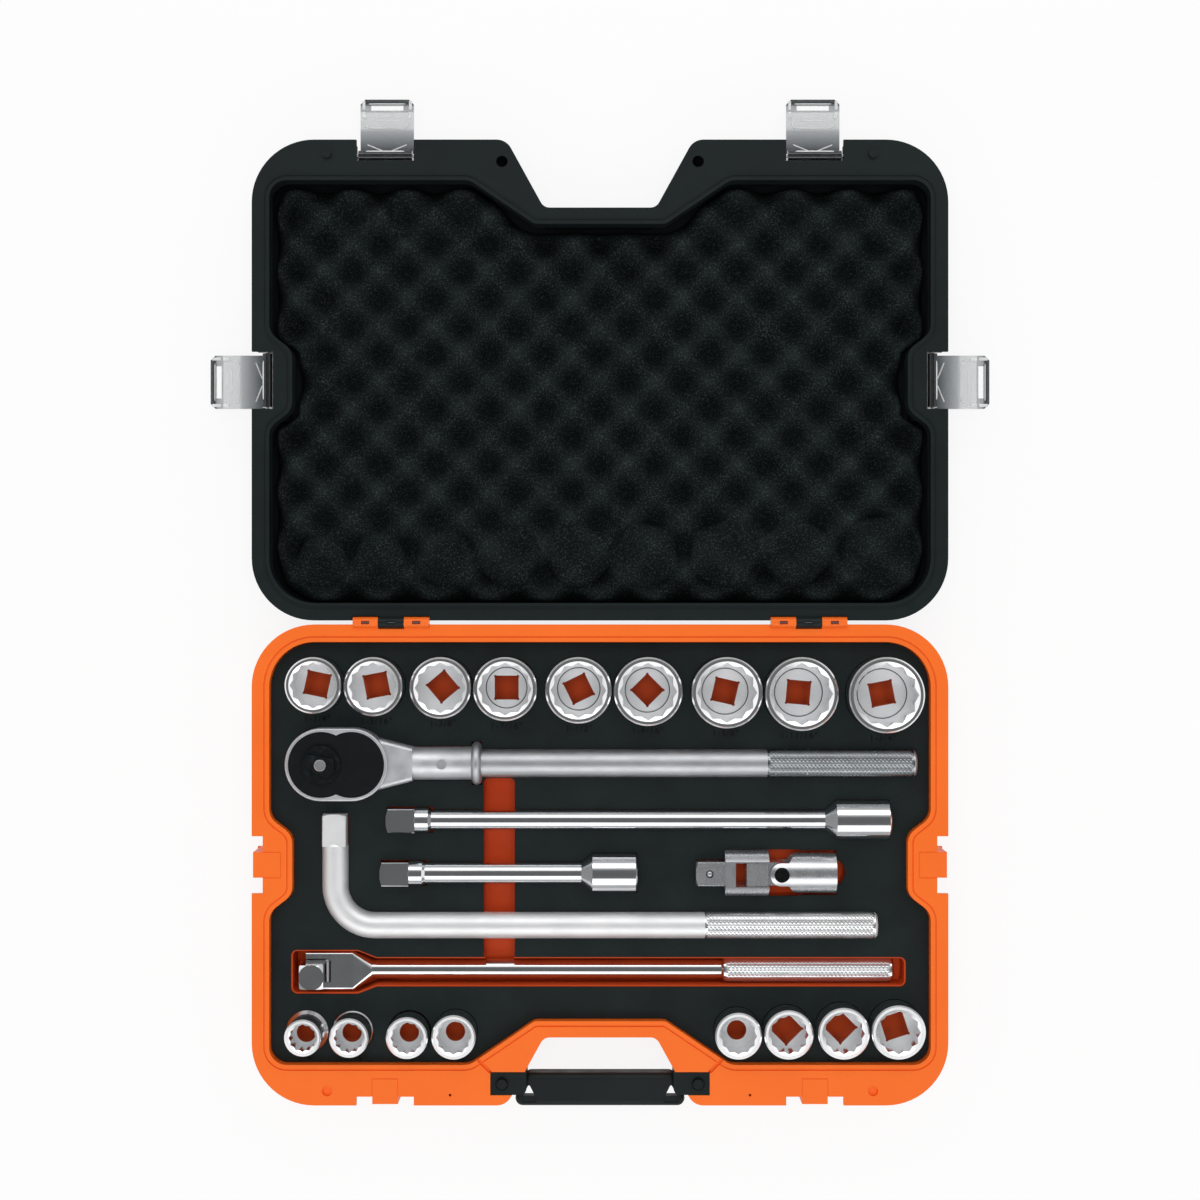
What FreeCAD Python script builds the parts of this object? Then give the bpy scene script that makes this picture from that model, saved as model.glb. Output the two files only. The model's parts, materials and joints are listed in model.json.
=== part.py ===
import FreeCAD, Part
import math
import os

os.makedirs("parts", exist_ok=True)

# Socket wrench set, 3/4 inch drive, in a two-part moulded case that lies open flat.
# Millimetres. X along the hinge, +Y from the handle to the hinge, Z up.
# The origin is the centre of the base's underside, which the case rests on.

# Case shells
half_depth = 56.0            # floor to rim of each half
wall = 3.0                   # moulded wall of the shells
flange = 4.0                 # thickness of the rim plate
overhang = 4.0               # rim plate beyond the outer wall
bottom_round = 6.0           # round between outer wall and floor
rim_side = 14.0              # rim plate, deck edge to outer edge
rim_back = 14.0
rim_front = 32.4
case_corner = 50.0           # outer corner radius in plan
deck_corner_back = 36.0
deck_corner_front = 14.0
lip = 2.5                    # wall that drops from the rim round the deck
lip_drop = 16.0              # depth of that wall below the rim
ledge = 3.0                  # width of the shelf under the tray
ledge_depth = 12.5           # rim to the top of the shelf
hinge_offset = 1.6           # hinge axis beyond the outer back edge
seal_width = 1.2             # groove in the base rim
seal_depth = 1.5
seal_inset = 3.4             # deck edge to groove
seal_clearance = 0.25        # tongue of the lid in the groove, at either side and below

# Notch for the hand, at the front
notch_half = 45.0
notch_mouth = 75.0
notch_depth = 54.4
notch_round = 8.0
deck_notch_half = 52.5
deck_notch_mouth = 104.5
deck_notch_rim = 13.0        # rim plate between the notch and the deck

# Latches and catches
latch_width = 43.0
latch_recess = 46.0          # width of the recess in either rim
latch_front_x = 172.0        # place of the two front latches
latch_side_y = 0.0
latch_reach = 48.0           # pivot to tip
latch_plate = 2.5
latch_offset = 11.3          # pivot axis to the inner face of the plate
latch_pivot_inset = 12.0     # pivot axis inside the lid's outer edge
latch_pivot_drop = 4.0       # pivot axis below the lid's rim
latch_barrel = 4.0           # radius
latch_pin = 1.5              # radius
latch_pin_clearance = 0.08
latch_pin_bite = 5.0         # length of pin held in each ear
lid_recess = 17.0            # depth of the recess in the lid's rim
base_recess_front = 7.0
base_recess_side = 8.8
catch_width = 20.5
catch_height = 3.8
catch_proud = 1.6            # nose of the catch beyond the outer edge
catch_top = 35.5             # nose below the rim
catch_inset = 1.0            # upright above the nose, inside the outer edge
catch_drop = 0.4             # its top below the rim
catch_line = 0.7             # engraved line round the catch's root, width and depth
catch_root = 14.7            # length of that line from the recess inwards
window_clearance = 0.4
window_width = 26.2          # slot of the latch
latch_panel = 35.0           # width of the thinned panel beside the slot
latch_panel_long = 14.0
latch_panel_deep = 1.0
latch_panel_border = 0.8     # between slot and panel
latch_corner = 6.0           # bevel at the tip's corners
latch_lip = 4.0              # grip lip at the tip
bump_inset = 18.4            # deck edge drawn in behind a side catch
bump_half = 24.0
bump_mouth = 38.0
bump_round = 14.0

# Hinges
hinge_x = 167.0              # centre of either hinge
knuckle_length = 20.0
knuckle_radius = 4.5
knuckle_gap = 0.4
hinge_pin = 2.0              # radius
hinge_clearance = 0.06       # pin in the lid's knuckle
knuckle_relief = 0.7         # room round the other half's knuckles
knuckle_window = 6.6         # slot in the knuckle over the pin, length
knuckle_window_width = 2.8

# Handle
ear_x = 78.5
ear_half = 9.0
ear_depth = 34.0             # posts reach this far below the rim
ear_back = 17.4              # ear centre behind the front edge
boss_radius = 4.0
boss_height = 3.0
boss_ring = 1.3              # counterbore round the boss, width and depth
boss_clearance = 0.6
ear_clearance = 0.3
grip_back_half = 59.0
grip_front_half = 71.5
grip_deep = 26.4             # front to back
grip_beyond = 2.0            # grip beyond the case's front edge
grip_height = 20.0
grip_round = 6.0
grip_drop = 4.0              # top of the grip below the rim
eyelet_x = 57.0
eyelet_half = 5.0
eyelet_web = 4.0             # thickness of the grip at the eyelet
eyelet_dish = 1.0            # shallow dish in front of it

# Locating pegs of the lid and their holes
peg_x = 218.5
peg_inset = 11.4
peg_radius = 3.6
peg_height = 2.5
peg_clearance = 0.4
vent_x = 120.0               # small hole in the front rim
vent_inset = 8.2
vent_radius = 1.1
slit = 2.8                   # width and depth of the slit from the deck to the ear

# Deck: tray, mat and pockets
tray_plate = 2.5
tray_wall = 1.8
mat_thickness = 2.0
tray_clearance = 0.3         # tray in the lip
mat_clearance = 0.6
pocket_clearance = 0.6       # sideways room round a tool
seat_gap = 0.2               # under a tool
mat_overhang = 0.3           # mat beyond the pocket's edge, towards the tool
flex_margin = 1.2            # mat short of the pocket round the flex handle
pocket_corner = 4.0          # of the finger channel and the flex handle's pocket
bar_corner = 1.2             # of the pockets that fit a bar closely
deck_margin_side = 6.6
deck_margin_back = 11.7
deck_margin_front = 8.0
finger_x = -81.0             # finger channel across the bars
finger_width = 25.5
finger_depth = 24.0          # below the mat
finger_back = 69.0
finger_front = -77.4

# Foam
foam_clearance = 0.6
foam_slab = 22.0
foam_crest = 11.0
foam_pitch = 45.0            # crest to crest along a row
foam_row = 22.5              # row to row
foam_crest_foot = 15.0       # radius
foam_crest_top = 5.0
foam_sides = 8

# Sockets
drive = 19.05                # square drive
drive_clearance = 0.1
drive_depth = 24.0           # female square
socket_od_base = 6.0         # nose diameter = base + slope * size
socket_od_slope = 1.22
socket_shortest = 50.0
socket_length_slope = 0.67
socket_drive_od = 34.0       # least diameter at the drive end
socket_drive_share = 0.8     # of the nose diameter on large sockets
socket_recess_share = 0.42   # depth of the 12-point recess
socket_through = 15.6        # round hole where the square is wider than the recess
socket_chamfer = 1.2
square_relief = 1.1          # radius in the corners of a female square
floor_ring = 0.9             # sunk ring in the recess's floor, share of the size
floor_ring_deep = 0.8
socket_rise = 24.0           # nose above the mat
socket_back = 166.7          # back edge of the upper row
socket_front = -152.0        # front edge of the lower row
smallest_size = 19.05

# Tools, by their axes
ratchet_y = 80.8
long_extension_y = 35.2
short_extension_y = -7.5
joint_y = -7.2
l_handle_y = -49.4
breaker_y = -87.2
bar_height = 0.0             # axes above the mat's top
breaker_drop = 14.0          # axis of the flex handle below the mat's top
ball_radius = 3.0
ball_proud = 0.7
ball_bore_clearance = 0.1
ball_bore_depth = 9.0
ball_inset = 11.0            # from the end of the square
drive_chamfer = 1.5
drive_corner = 0.4           # trimmed off the square's corners

# Ratchet
head_x = -222.0              # drive axis
head_radius = 29.0
head_stretch = 24.0          # to the centre of the pawl lobe
head_thickness = 34.0
head_rim = 2.7
cover_thickness = 3.5
cover_inset = 1.0            # cover below the head's rim
gear_teeth = 24
gear_radius = 16.0
gear_tooth_depth = 1.8
gear_clearance = 0.6
gear_width = 16.0
gear_journal = 12.9
gear_collar = 8.0
journal_clearance = 0.08
gear_floor = 5.5             # bottom wall of the head
drive_length = 25.0
pawl_arm = 27.0              # drive axis to the pawl's pivot
pawl_half = 12.0
pawl_back = 7.0
pawl_post = 3.0
pawl_rock = 5.0              # degrees either way
pawl_backlash = 0.35         # pawl teeth to gear teeth
pawl_room = 3.0              # chamber round the pawl
dial_radius = 15.4
dial_thickness = 2.4
dial_lever = 3.2
dial_gap = 0.25
dial_turn = -20.0            # degrees, finger bar at rest
dial_corner = 2.0
button_radius = 4.6
button_stem = 3.0
button_clearance = 0.1
button_proud = 1.6
button_travel = 2.0
button_edge = 0.6            # chamfer
button_spare = 0.5           # bore below the pressed button
neck_end = 72.0              # drive axis to the end of the neck
neck_half = 13.6
neck_root_half = 21.5
neck_corner = 4.0
ferrule_radius = 13.25
ferrule_length = 47.0
tang_radius = 9.5
tang_clearance = 0.05
collar_radius = 17.25
collar_length = 8.0
handle_radius = 11.25
handle_length = 348.6
end_chamfer = 1.5
lock_pin_radius = 4.0
lock_pin_proud = 0.6
lock_pin_clearance = 0.02
lock_pin_share = 0.5         # place along the ferrule

# Extensions
extension_socket = 16.0      # radius of the female end
extension_neck = 10.2        # radius behind the male square
extension_neck_length = 11.5
extension_shoulder = 2.5     # cone behind the neck
extension_cone = 9.0         # cone before the female end
male_length = 22.0
long_extension_x = -171.4
long_extension_length = 404.0
long_extension_bar = 8.0
long_extension_socket_length = 43.3
short_extension_x = -176.3
short_extension_length = 206.1
short_extension_bar = 8.75
short_extension_socket_length = 35.8

# Universal joint
joint_gap = 47.0             # clear of the short extension
joint_male = 23.2
yoke_radius = 18.35
yoke_bridge = 8.2            # solid part between square and gap
yoke_height = 15.0           # half height of the ears
yoke_ear = 35.0              # bridge and ears together
yoke_gap = 19.0              # between the ears
block_width = 18.4
block_height = 16.0
block_end = 8.0              # block beyond either pin
pin_offset = 20.0            # between the two pins of the block
yoke_pin_inset = 10.0        # pin from the end of the drive yoke's ears
cross_pin = 4.5              # radius of the level pin
fork_pin = 6.0               # radius of the upright pin
joint_pin_clearance = 0.06
joint_socket_radius = 16.0
joint_socket_length = 33.0
joint_shoulder = 3.0         # end of the block to the barrel
block_head = 14.0            # half height of the block between the drive yoke's ears
fork_gap = 0.3               # block in the socket yoke
joint_room = 8.4             # finger room beyond the socket yoke
joint_room_half = 12.0       # its half width
joint_side_room = 1.7        # pocket beside the socket yoke
joint_pin_shy = 0.8          # upright pin below the ears' faces
cross_pin_shy = 2.0          # level pin short of the ears' crowns

# L handle
l_x = -212.7
l_radius = 10.5
l_bend = 32.0                # bend radius of the centre line
l_end_x = 222.3
l_end_y = 40.5
l_square_length = 22.9
l_neck = 3.0

# Flex handle
pivot_x = -229.0
knuckle_r = 15.5             # radius of the head's tongue
tongue = 16.6
fork_slot = 17.2
fork_half = 16.0             # half width over the cheeks
fork_cheek = 8.0             # cheeks beyond the pin
fork_root = 30.0             # pin to the end of the slot's cheeks
fork_taper = 15.0
fork_height = 11.5           # half height of the cheeks
fork_clearance = 1.2         # tongue to the bottom of the slot
fork_edge = 3.0              # round along the cheeks
flex_pin_shy = 1.0
flex_pin = 5.0
flex_bar = 8.0
flex_grip = 10.2
flex_grip_x = 100.0
flex_end_x = 237.0
flex_tang = 21.5             # square beyond the tongue
flex_tilt_room = 3.0         # pocket beyond the head
flex_tip_room = 8.0          # pocket beyond the grip


def V(x=0.0, y=0.0, z=0.0):
    return FreeCAD.Vector(x, y, z)


def box(x0, x1, y0, y1, z0, z1):
    return Part.makeBox(x1 - x0, y1 - y0, z1 - z0, V(x0, y0, z0))


def rod(radius, start, end):
    """Cylinder of a radius between two points."""
    along = end - start
    return Part.makeCylinder(radius, along.Length, start, along)


def turned(profile):
    """Solid of revolution about Z from (height, radius) pairs."""
    points = [V(0, 0, profile[0][0])]
    points += [V(radius, 0, height) for height, radius in profile]
    points += [V(0, 0, profile[-1][0]), points[0]]
    return Part.Face(Part.makePolygon(points)).revolve(V(), V(0, 0, 1), 360)


def lying(shape, x, y, z):
    """A piece made along +Z, laid along +X with its foot at a point."""
    return shape.rotated(V(), V(0, 1, 0), 90).translated(V(x, y, z))


def outline_wire(corners):
    """Closed plan wire through (x, y, radius) corners, each rounded by a tangent arc."""
    arcs = []
    count = len(corners)
    for i, (x, y, radius) in enumerate(corners):
        here = V(x, y)
        back = (V(*corners[i - 1][:2]) - here).normalize()
        ahead = (V(*corners[(i + 1) % count][:2]) - here).normalize()
        half = back.getAngle(ahead) / 2
        cut = radius / math.tan(half)
        middle = (back + ahead).normalize() * (radius / math.sin(half) - radius)
        arcs.append((here + back * cut, here + middle, here + ahead * cut))
    edges = []
    for i, (start, middle, end) in enumerate(arcs):
        edges.append(Part.Arc(start, middle, end).toShape())
        following = arcs[(i + 1) % count][0]
        if end.distanceToPoint(following) > 1e-6:
            edges.append(Part.makeLine(end, following))
    return Part.Wire(edges)


def inset(corners, distance):
    """The outline moved inwards by a distance (outwards if negative), rounds kept concentric."""
    moved = []
    count = len(corners)
    for i, (x, y, radius) in enumerate(corners):
        before = corners[i - 1]
        after = corners[(i + 1) % count]
        a = V(x - before[0], y - before[1]).normalize()
        b = V(after[0] - x, after[1] - y).normalize()
        shift = distance / (1 + a.dot(b))
        turn = a.x * b.y - a.y * b.x
        moved_radius = radius - distance if turn > 0 else radius + distance
        moved.append((x - (a.y + b.y) * shift, y + (a.x + b.x) * shift, max(moved_radius, 0.4)))
    return moved


def prism(corners, z0, z1):
    face = Part.Face(outline_wire(corners))
    return face.extrude(V(0, 0, z1 - z0)).translated(V(0, 0, z0))


def slot(x0, x1, y, half, corner):
    """Corners of a lengthwise slot; a corner of half its width gives round ends."""
    return [(x0, y - half, corner), (x1, y - half, corner), (x1, y + half, corner), (x0, y + half, corner)]


def both_sides(half):
    """Full outline from the corners of its right half, front middle to back middle."""
    return half + [(-x, y, radius) for x, y, radius in reversed(half)]


def mirrored(shape):
    return shape.mirror(V(), V(1, 0, 0))


def fuse(shapes):
    return shapes[0].multiFuse(shapes[1:]).removeSplitter()


def square_bar(side, z0, z1):
    return box(-side / 2, side / 2, -side / 2, side / 2, z0, z1)


def row(start, gaps, widths):
    """Centres of pieces that stand in a row with the given clear gaps."""
    centres = []
    edge = start
    for i, width in enumerate(widths):
        centres.append(edge + width / 2)
        edge += width + (gaps[i] if i < len(gaps) else 0)
    return centres


# Sockets: size in inches, its node name, and the turn of its square in degrees
INCH = 25.4
upper_sizes = [
    (1 + 1 / 4, "socket_1_1_4", -12), (1 + 5 / 16, "socket_1_5_16", 11), (1 + 3 / 8, "socket_1_3_8", 40),
    (1 + 7 / 16, "socket_1_7_16", 0), (1 + 1 / 2, "socket_1_1_2", 26), (1 + 9 / 16, "socket_1_9_16", 45),
    (1 + 5 / 8, "socket_1_5_8", -13), (1 + 11 / 16, "socket_1_11_16", -5), (1 + 3 / 4, "socket_1_3_4", 11)]
lower_left_sizes = [
    (3 / 4, "socket_3_4", 0), (13 / 16, "socket_13_16", 0), (7 / 8, "socket_7_8", 0),
    (15 / 16, "socket_15_16", 0)]
lower_right_sizes = [
    (1.0, "socket_1", 0), (1 + 1 / 16, "socket_1_1_16", 45), (1 + 1 / 8, "socket_1_1_8", 45),
    (1 + 3 / 16, "socket_1_3_16", 18)]
upper_gaps = [1.9, 5.6, 1.8, 6.6, 1.8, 7.2, 1.9, 8.1]
lower_left_gaps = [2.6, 11.9, 2.5]
lower_right_gaps = [1.9, 3.7, 1.6]
upper_start = -249.8         # left edge of the upper row
lower_left_start = -252.6
lower_right_start = 91.3


def nose_diameter(size):
    return socket_od_base + socket_od_slope * size * INCH


def drive_diameter(size):
    return max(socket_drive_od, socket_drive_share * nose_diameter(size))


def socket_width(size):
    return max(nose_diameter(size), drive_diameter(size))


def socket_length(size):
    return socket_shortest + socket_length_slope * (size * INCH - smallest_size)


# Heights
rim = half_depth
ledge_top = rim - ledge_depth
tray_top = ledge_top + tray_plate
mat_top = tray_top + mat_thickness
nose_top = mat_top + socket_rise
bar_z = mat_top + bar_height
breaker_z = mat_top - breaker_drop

# Every socket: size, name, turn, centre
sockets = []
for sizes, start, gaps, edge, side in (
        (upper_sizes, upper_start, upper_gaps, socket_back, -1),
        (lower_left_sizes, lower_left_start, lower_left_gaps, socket_front, 1),
        (lower_right_sizes, lower_right_start, lower_right_gaps, socket_front, 1)):
    widths = [socket_width(size) for size, name, turn in sizes]
    for (size, name, turn), width, x in zip(sizes, widths, row(start, gaps, widths)):
        sockets.append((size, name, turn, x, edge + side * width / 2))

# Stations along the tools
root_x = head_x + head_stretch + 0.6 * head_radius
neck_x = head_x + neck_end
collar_x = neck_x + ferrule_length
handle_x = collar_x + collar_length
handle_end = handle_x + handle_length
head_bottom = bar_z - head_thickness / 2
head_top = bar_z + head_thickness / 2
cover_top = head_top - cover_inset
cover_bottom = cover_top - cover_thickness
chamber_floor = head_bottom + gear_floor
drive_bottom = head_bottom - drive_length
long_socket_x = long_extension_x + long_extension_length - long_extension_socket_length
long_end = long_extension_x + long_extension_length
short_socket_x = short_extension_x + short_extension_length - short_extension_socket_length
short_end = short_extension_x + short_extension_length
joint_x = short_end + joint_gap
yoke_x = joint_x + joint_male
yoke_end = yoke_x + yoke_ear
cross_x = yoke_end - yoke_pin_inset
fork_x = cross_x + pin_offset
joint_barrel_x = fork_x + block_end + joint_shoulder
joint_end = joint_barrel_x + joint_socket_length
fork_end = pivot_x + fork_root
taper_end = fork_end + fork_taper
flex_pocket_x = pivot_x - knuckle_r - flex_tilt_room
flex_pocket_end = flex_end_x + flex_tip_room

# Plan of the deck, wide enough for every tool, and of the case round it
reaches = [abs(x) + socket_width(size) / 2 for size, name, turn, x, y in sockets]
reaches += [handle_end, l_end_x, flex_pocket_end, head_radius - head_x, -flex_pocket_x]
reaches += [long_end + bump_inset, joint_end + joint_room + bump_inset]
deck_half = deck_margin_side + max(reaches)
deck_back = socket_back + deck_margin_back
deck_front = socket_front - deck_margin_front
case_half = deck_half + rim_side
case_back = deck_back + rim_back
case_front = deck_front - rim_front
hinge_y = case_back + hinge_offset
notch_y = case_front + notch_depth
mouth_round = overhang + bottom_round + 3

case_outline = both_sides([
    (notch_half, notch_y, notch_round), (notch_mouth, case_front, mouth_round),
    (case_half, case_front, case_corner), (case_half, case_back, case_corner)])
deck_outline = both_sides([
    (deck_notch_half, notch_y + deck_notch_rim, notch_round),
    (deck_notch_mouth, deck_front, deck_corner_front), (deck_half, deck_front, deck_corner_front),
    (deck_half, latch_side_y - bump_mouth, bump_round),
    (deck_half - bump_inset, latch_side_y - bump_half, bump_round),
    (deck_half - bump_inset, latch_side_y + bump_half, bump_round),
    (deck_half, latch_side_y + bump_mouth, bump_round),
    (deck_half, deck_back, deck_corner_back)])


def to_lid(shape):
    """A piece drawn over the base, folded open about the hinge line."""
    return shape.mirror(V(0, hinge_y, 0), V(0, 1, 0))


def at_latches(shape):
    """Copies of a piece drawn on the front edge (+Y inwards, X along it) at the four latches."""
    front = shape.translated(V(0, case_front, 0))
    side = shape.rotated(V(), V(0, 0, 1), 90).translated(V(case_half, latch_side_y, 0))
    return {
        "latch_front_left": front.translated(V(-latch_front_x, 0, 0)),
        "latch_front_right": front.translated(V(latch_front_x, 0, 0)),
        "latch_side_left": mirrored(side),
        "latch_side_right": side}


def recesses(front_depth, side_depth, grow, z0, z1):
    """Channels in the outer edge at the four latches, widened by an amount."""
    half = latch_recess / 2 + grow
    made = []
    for edge, depth in (("front", front_depth), ("side", side_depth)):
        channels = at_latches(box(-half, half, -1, depth + grow, z0, z1))
        made += [channel for name, channel in channels.items() if edge in name]
    return made


def shell(front_depth, side_depth, ledge_width):
    """Half of the case: filleted tub, rim plate with latch recesses, lip round the deck."""
    tub = prism(inset(case_outline, overhang), 0, rim - flange / 2)
    bottom = [edge for edge in tub.Edges if edge.BoundBox.ZMax < 1e-6]
    tub = tub.makeFillet(bottom_round, bottom)
    hollow = prism(inset(case_outline, overhang + wall), wall, rim)
    tub = tub.cut(recesses(front_depth, side_depth, overhang, -1, rim))
    hollow = hollow.cut(recesses(front_depth, side_depth, overhang + wall, 0, rim))
    plate = prism(case_outline, rim - flange, rim)
    plate = plate.cut(recesses(front_depth, side_depth, 0, 0, rim + 1))
    frame = prism(inset(deck_outline, -lip), rim - lip_drop, rim)
    body = fuse([tub.cut(hollow), plate, frame])
    body = body.cut(prism(deck_outline, ledge_top, rim + 1))
    return body.cut(prism(inset(deck_outline, ledge_width), rim - lip_drop - 1, ledge_top + 1))


def knuckles(lid_side, radius, grow):
    """Hinge barrels of one half: two outer ones on the base, a middle one on the lid."""
    pitch = knuckle_length + knuckle_gap
    made = []
    for centre in (-hinge_x, hinge_x):
        for place in ([0] if lid_side else [-1, 1]):
            middle = centre + place * pitch
            half = knuckle_length / 2 + grow
            made.append(rod(radius, V(middle - half, hinge_y, rim), V(middle + half, hinge_y, rim)))
    return made


def knuckle_windows(lid_side):
    """Slots in the tops of one half's knuckles, down to the pin."""
    half = knuckle_window / 2
    wide = knuckle_window_width / 2
    middles = [barrel.BoundBox.Center.x for barrel in knuckles(lid_side, knuckle_radius, 0)]
    low = rim + hinge_pin / 2
    return [box(x - half, x + half, hinge_y - wide, hinge_y + wide, low, low + 2 * knuckle_radius)
            for x in middles]


def hinge_line(radius):
    half = 1.5 * knuckle_length + knuckle_gap
    return [rod(radius, V(x - half, hinge_y, rim), V(x + half, hinge_y, rim)) for x in (-hinge_x, hinge_x)]


def seal_ring(clearance, z0, z1):
    outer = inset(deck_outline, -(seal_inset + seal_width - clearance))
    inner = inset(deck_outline, -(seal_inset + clearance))
    return prism(outer, z0, z1).cut(prism(inner, z0 - 1, z1 + 1))


ear_y = case_front + ear_back


def ear_post(grow, inner_x, bottom):
    """Post of the handle at the right ear, from an inner X outwards."""
    return box(inner_x, ear_x + ear_half + grow, ear_y - ear_half - grow, ear_y + ear_half + grow,
               bottom, rim)


def peg(radius, z0, z1):
    peg_y = case_front + peg_inset
    return [rod(radius, V(x, peg_y, z0), V(x, peg_y, z1)) for x in (-peg_x, peg_x)]


def catch_lines(depth):
    """Engraved lines at both sides and behind the root of a catch, in the rim."""
    half = catch_width / 2
    back = depth + catch_root
    low = rim - catch_line
    sides = [box(x - catch_line / 2, x + catch_line / 2, depth - 1, back, low, rim + 1)
             for x in (-half, half)]
    return fuse(sides + [box(-half, half, back - catch_line, back, low, rim + 1)])


def ear_slit():
    """Slit in the rim from the slanted edge of the deck to the back of the right ear."""
    start = V(deck_notch_mouth - 2.5 * slit, deck_front + 1.5 * slit)
    along = V(ear_x + ear_half, ear_y + ear_half) - start
    cut = box(0, along.Length, -slit / 2, slit / 2, rim - slit, rim + 1)
    angle = math.degrees(math.atan2(along.y, along.x))
    return cut.rotated(V(), V(0, 0, 1), angle).translated(start)


def make_case_base():
    """Base shell with catches, wells for the handle, seal groove, peg holes and hinge barrels."""
    body = shell(base_recess_front, base_recess_side, ledge)
    nose = rim - catch_top
    half = catch_width / 2
    catches = []
    lines = []
    for edge, depth in (("front", base_recess_front), ("side", base_recess_side)):
        foot = depth + overhang + wall / 2
        block = fuse([box(-half, half, catch_inset, foot, nose - catch_height, rim - catch_drop),
                      box(-half, half, -catch_proud, foot, nose - catch_height, nose)])
        catches += [catch for name, catch in at_latches(block).items() if edge in name]
        lines += [line for name, line in at_latches(catch_lines(depth)).items() if edge in name]
    well_bottom = rim - ear_depth - ear_clearance
    well = ear_post(ear_clearance + wall, notch_half, well_bottom - wall).common(
        prism(inset(case_outline, overhang), 0, rim))
    body = fuse([body] + catches + [well, mirrored(well)] + knuckles(False, knuckle_radius, 0))
    seat = ear_post(ear_clearance, notch_half, well_bottom)
    cuts = [seat, mirrored(seat), seal_ring(0, rim - seal_depth, rim + 1)]
    cuts += lines + [ear_slit(), mirrored(ear_slit())]
    vent_y = case_front + vent_inset
    cuts += [rod(vent_radius, V(x, vent_y, rim - 2 * flange), V(x, vent_y, rim + 1))
             for x in (-vent_x, vent_x)]
    cuts += peg(peg_radius + peg_clearance, rim - peg_height - peg_clearance, rim + 1)
    cuts += knuckles(True, knuckle_radius + knuckle_relief, knuckle_gap)
    cuts += knuckle_windows(False) + hinge_line(hinge_pin)
    return body.cut(cuts)


def make_case_lid():
    body = shell(lid_recess, lid_recess, 0)
    pivot_z = rim - latch_pivot_drop
    inner = latch_recess / 2
    ear = box(inner, inner + latch_pin_bite + wall / 2, latch_pivot_inset - 2 * latch_barrel,
              lid_recess + overhang, pivot_z - latch_barrel - 1, rim)
    ears = list(at_latches(ear).values()) + list(at_latches(mirrored(ear)).values())
    ring = seal_ring(seal_clearance, rim - 1, rim + seal_depth - 2 * seal_clearance)
    body = fuse([body, ring] + ears + peg(peg_radius, rim - 1, rim + peg_height)
                + knuckles(True, knuckle_radius, 0))
    boss = rod(boss_radius + boss_clearance, V(ear_x, ear_y, 0), V(ear_x, ear_y, rim + 1)).common(
        box(0, case_half, case_front, 0, rim - boss_height - 1, rim + 1))
    cuts = [boss, mirrored(boss)] + list(at_latches(latch_pin_rod(latch_pin, 0)).values())
    cuts += knuckles(False, knuckle_radius + knuckle_relief, knuckle_gap)
    cuts += knuckle_windows(True) + hinge_line(hinge_pin + hinge_clearance)
    return to_lid(body.cut(cuts))


def latch_pin_rod(radius, shorten):
    half = latch_recess / 2 + latch_pin_bite - shorten
    pivot_z = rim - latch_pivot_drop
    return rod(radius, V(-half, latch_pivot_inset, pivot_z), V(half, latch_pivot_inset, pivot_z))


def make_latch():
    """Latch on the front edge, thrown open: barrel, web, plate below the pivot, slot, panel, lip."""
    pivot = V(0, latch_pivot_inset, rim - latch_pivot_drop)
    half = latch_width / 2
    outer = latch_offset + latch_plate
    web = 0.6 * latch_barrel
    profile = [(web, 0), (web, -outer), (latch_lip - latch_reach, -outer),
               (latch_lip - latch_reach, -outer - latch_plate), (-latch_reach, -outer - latch_plate),
               (-latch_reach, -latch_offset), (-web, -latch_offset), (-web, 0)]
    points = [V(-half, y, z) for y, z in profile]
    body = Part.Face(Part.makePolygon(points + points[:1])).extrude(V(latch_width, 0, 0))
    body = fuse([body, rod(latch_barrel, V(-half, 0, 0), V(half, 0, 0))])
    near = latch_pivot_drop + catch_top - window_clearance
    far = near + catch_height + 2 * window_clearance
    window = box(-window_width / 2, window_width / 2, -far, -near, -outer - 1, -latch_offset + 1)
    edge = latch_panel_border - near
    panel = box(-latch_panel / 2, latch_panel / 2, edge, edge + latch_panel_long,
                -latch_offset - latch_panel_deep, -latch_offset + 1)
    hole = rod(latch_pin + latch_pin_clearance, V(-half - 1, 0, 0), V(half + 1, 0, 0))
    corner = latch_corner
    for side in (-1, 1):
        bevel = box(-corner, corner, -corner, corner, -outer - latch_plate - 1, 0)
        place = V(side * (half + corner * 0.75), -latch_reach, 0)
        body = body.cut(bevel.rotated(V(), V(0, 0, 1), 45).translated(place))
    return body.cut([window, panel, hole]).translated(pivot)


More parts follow.
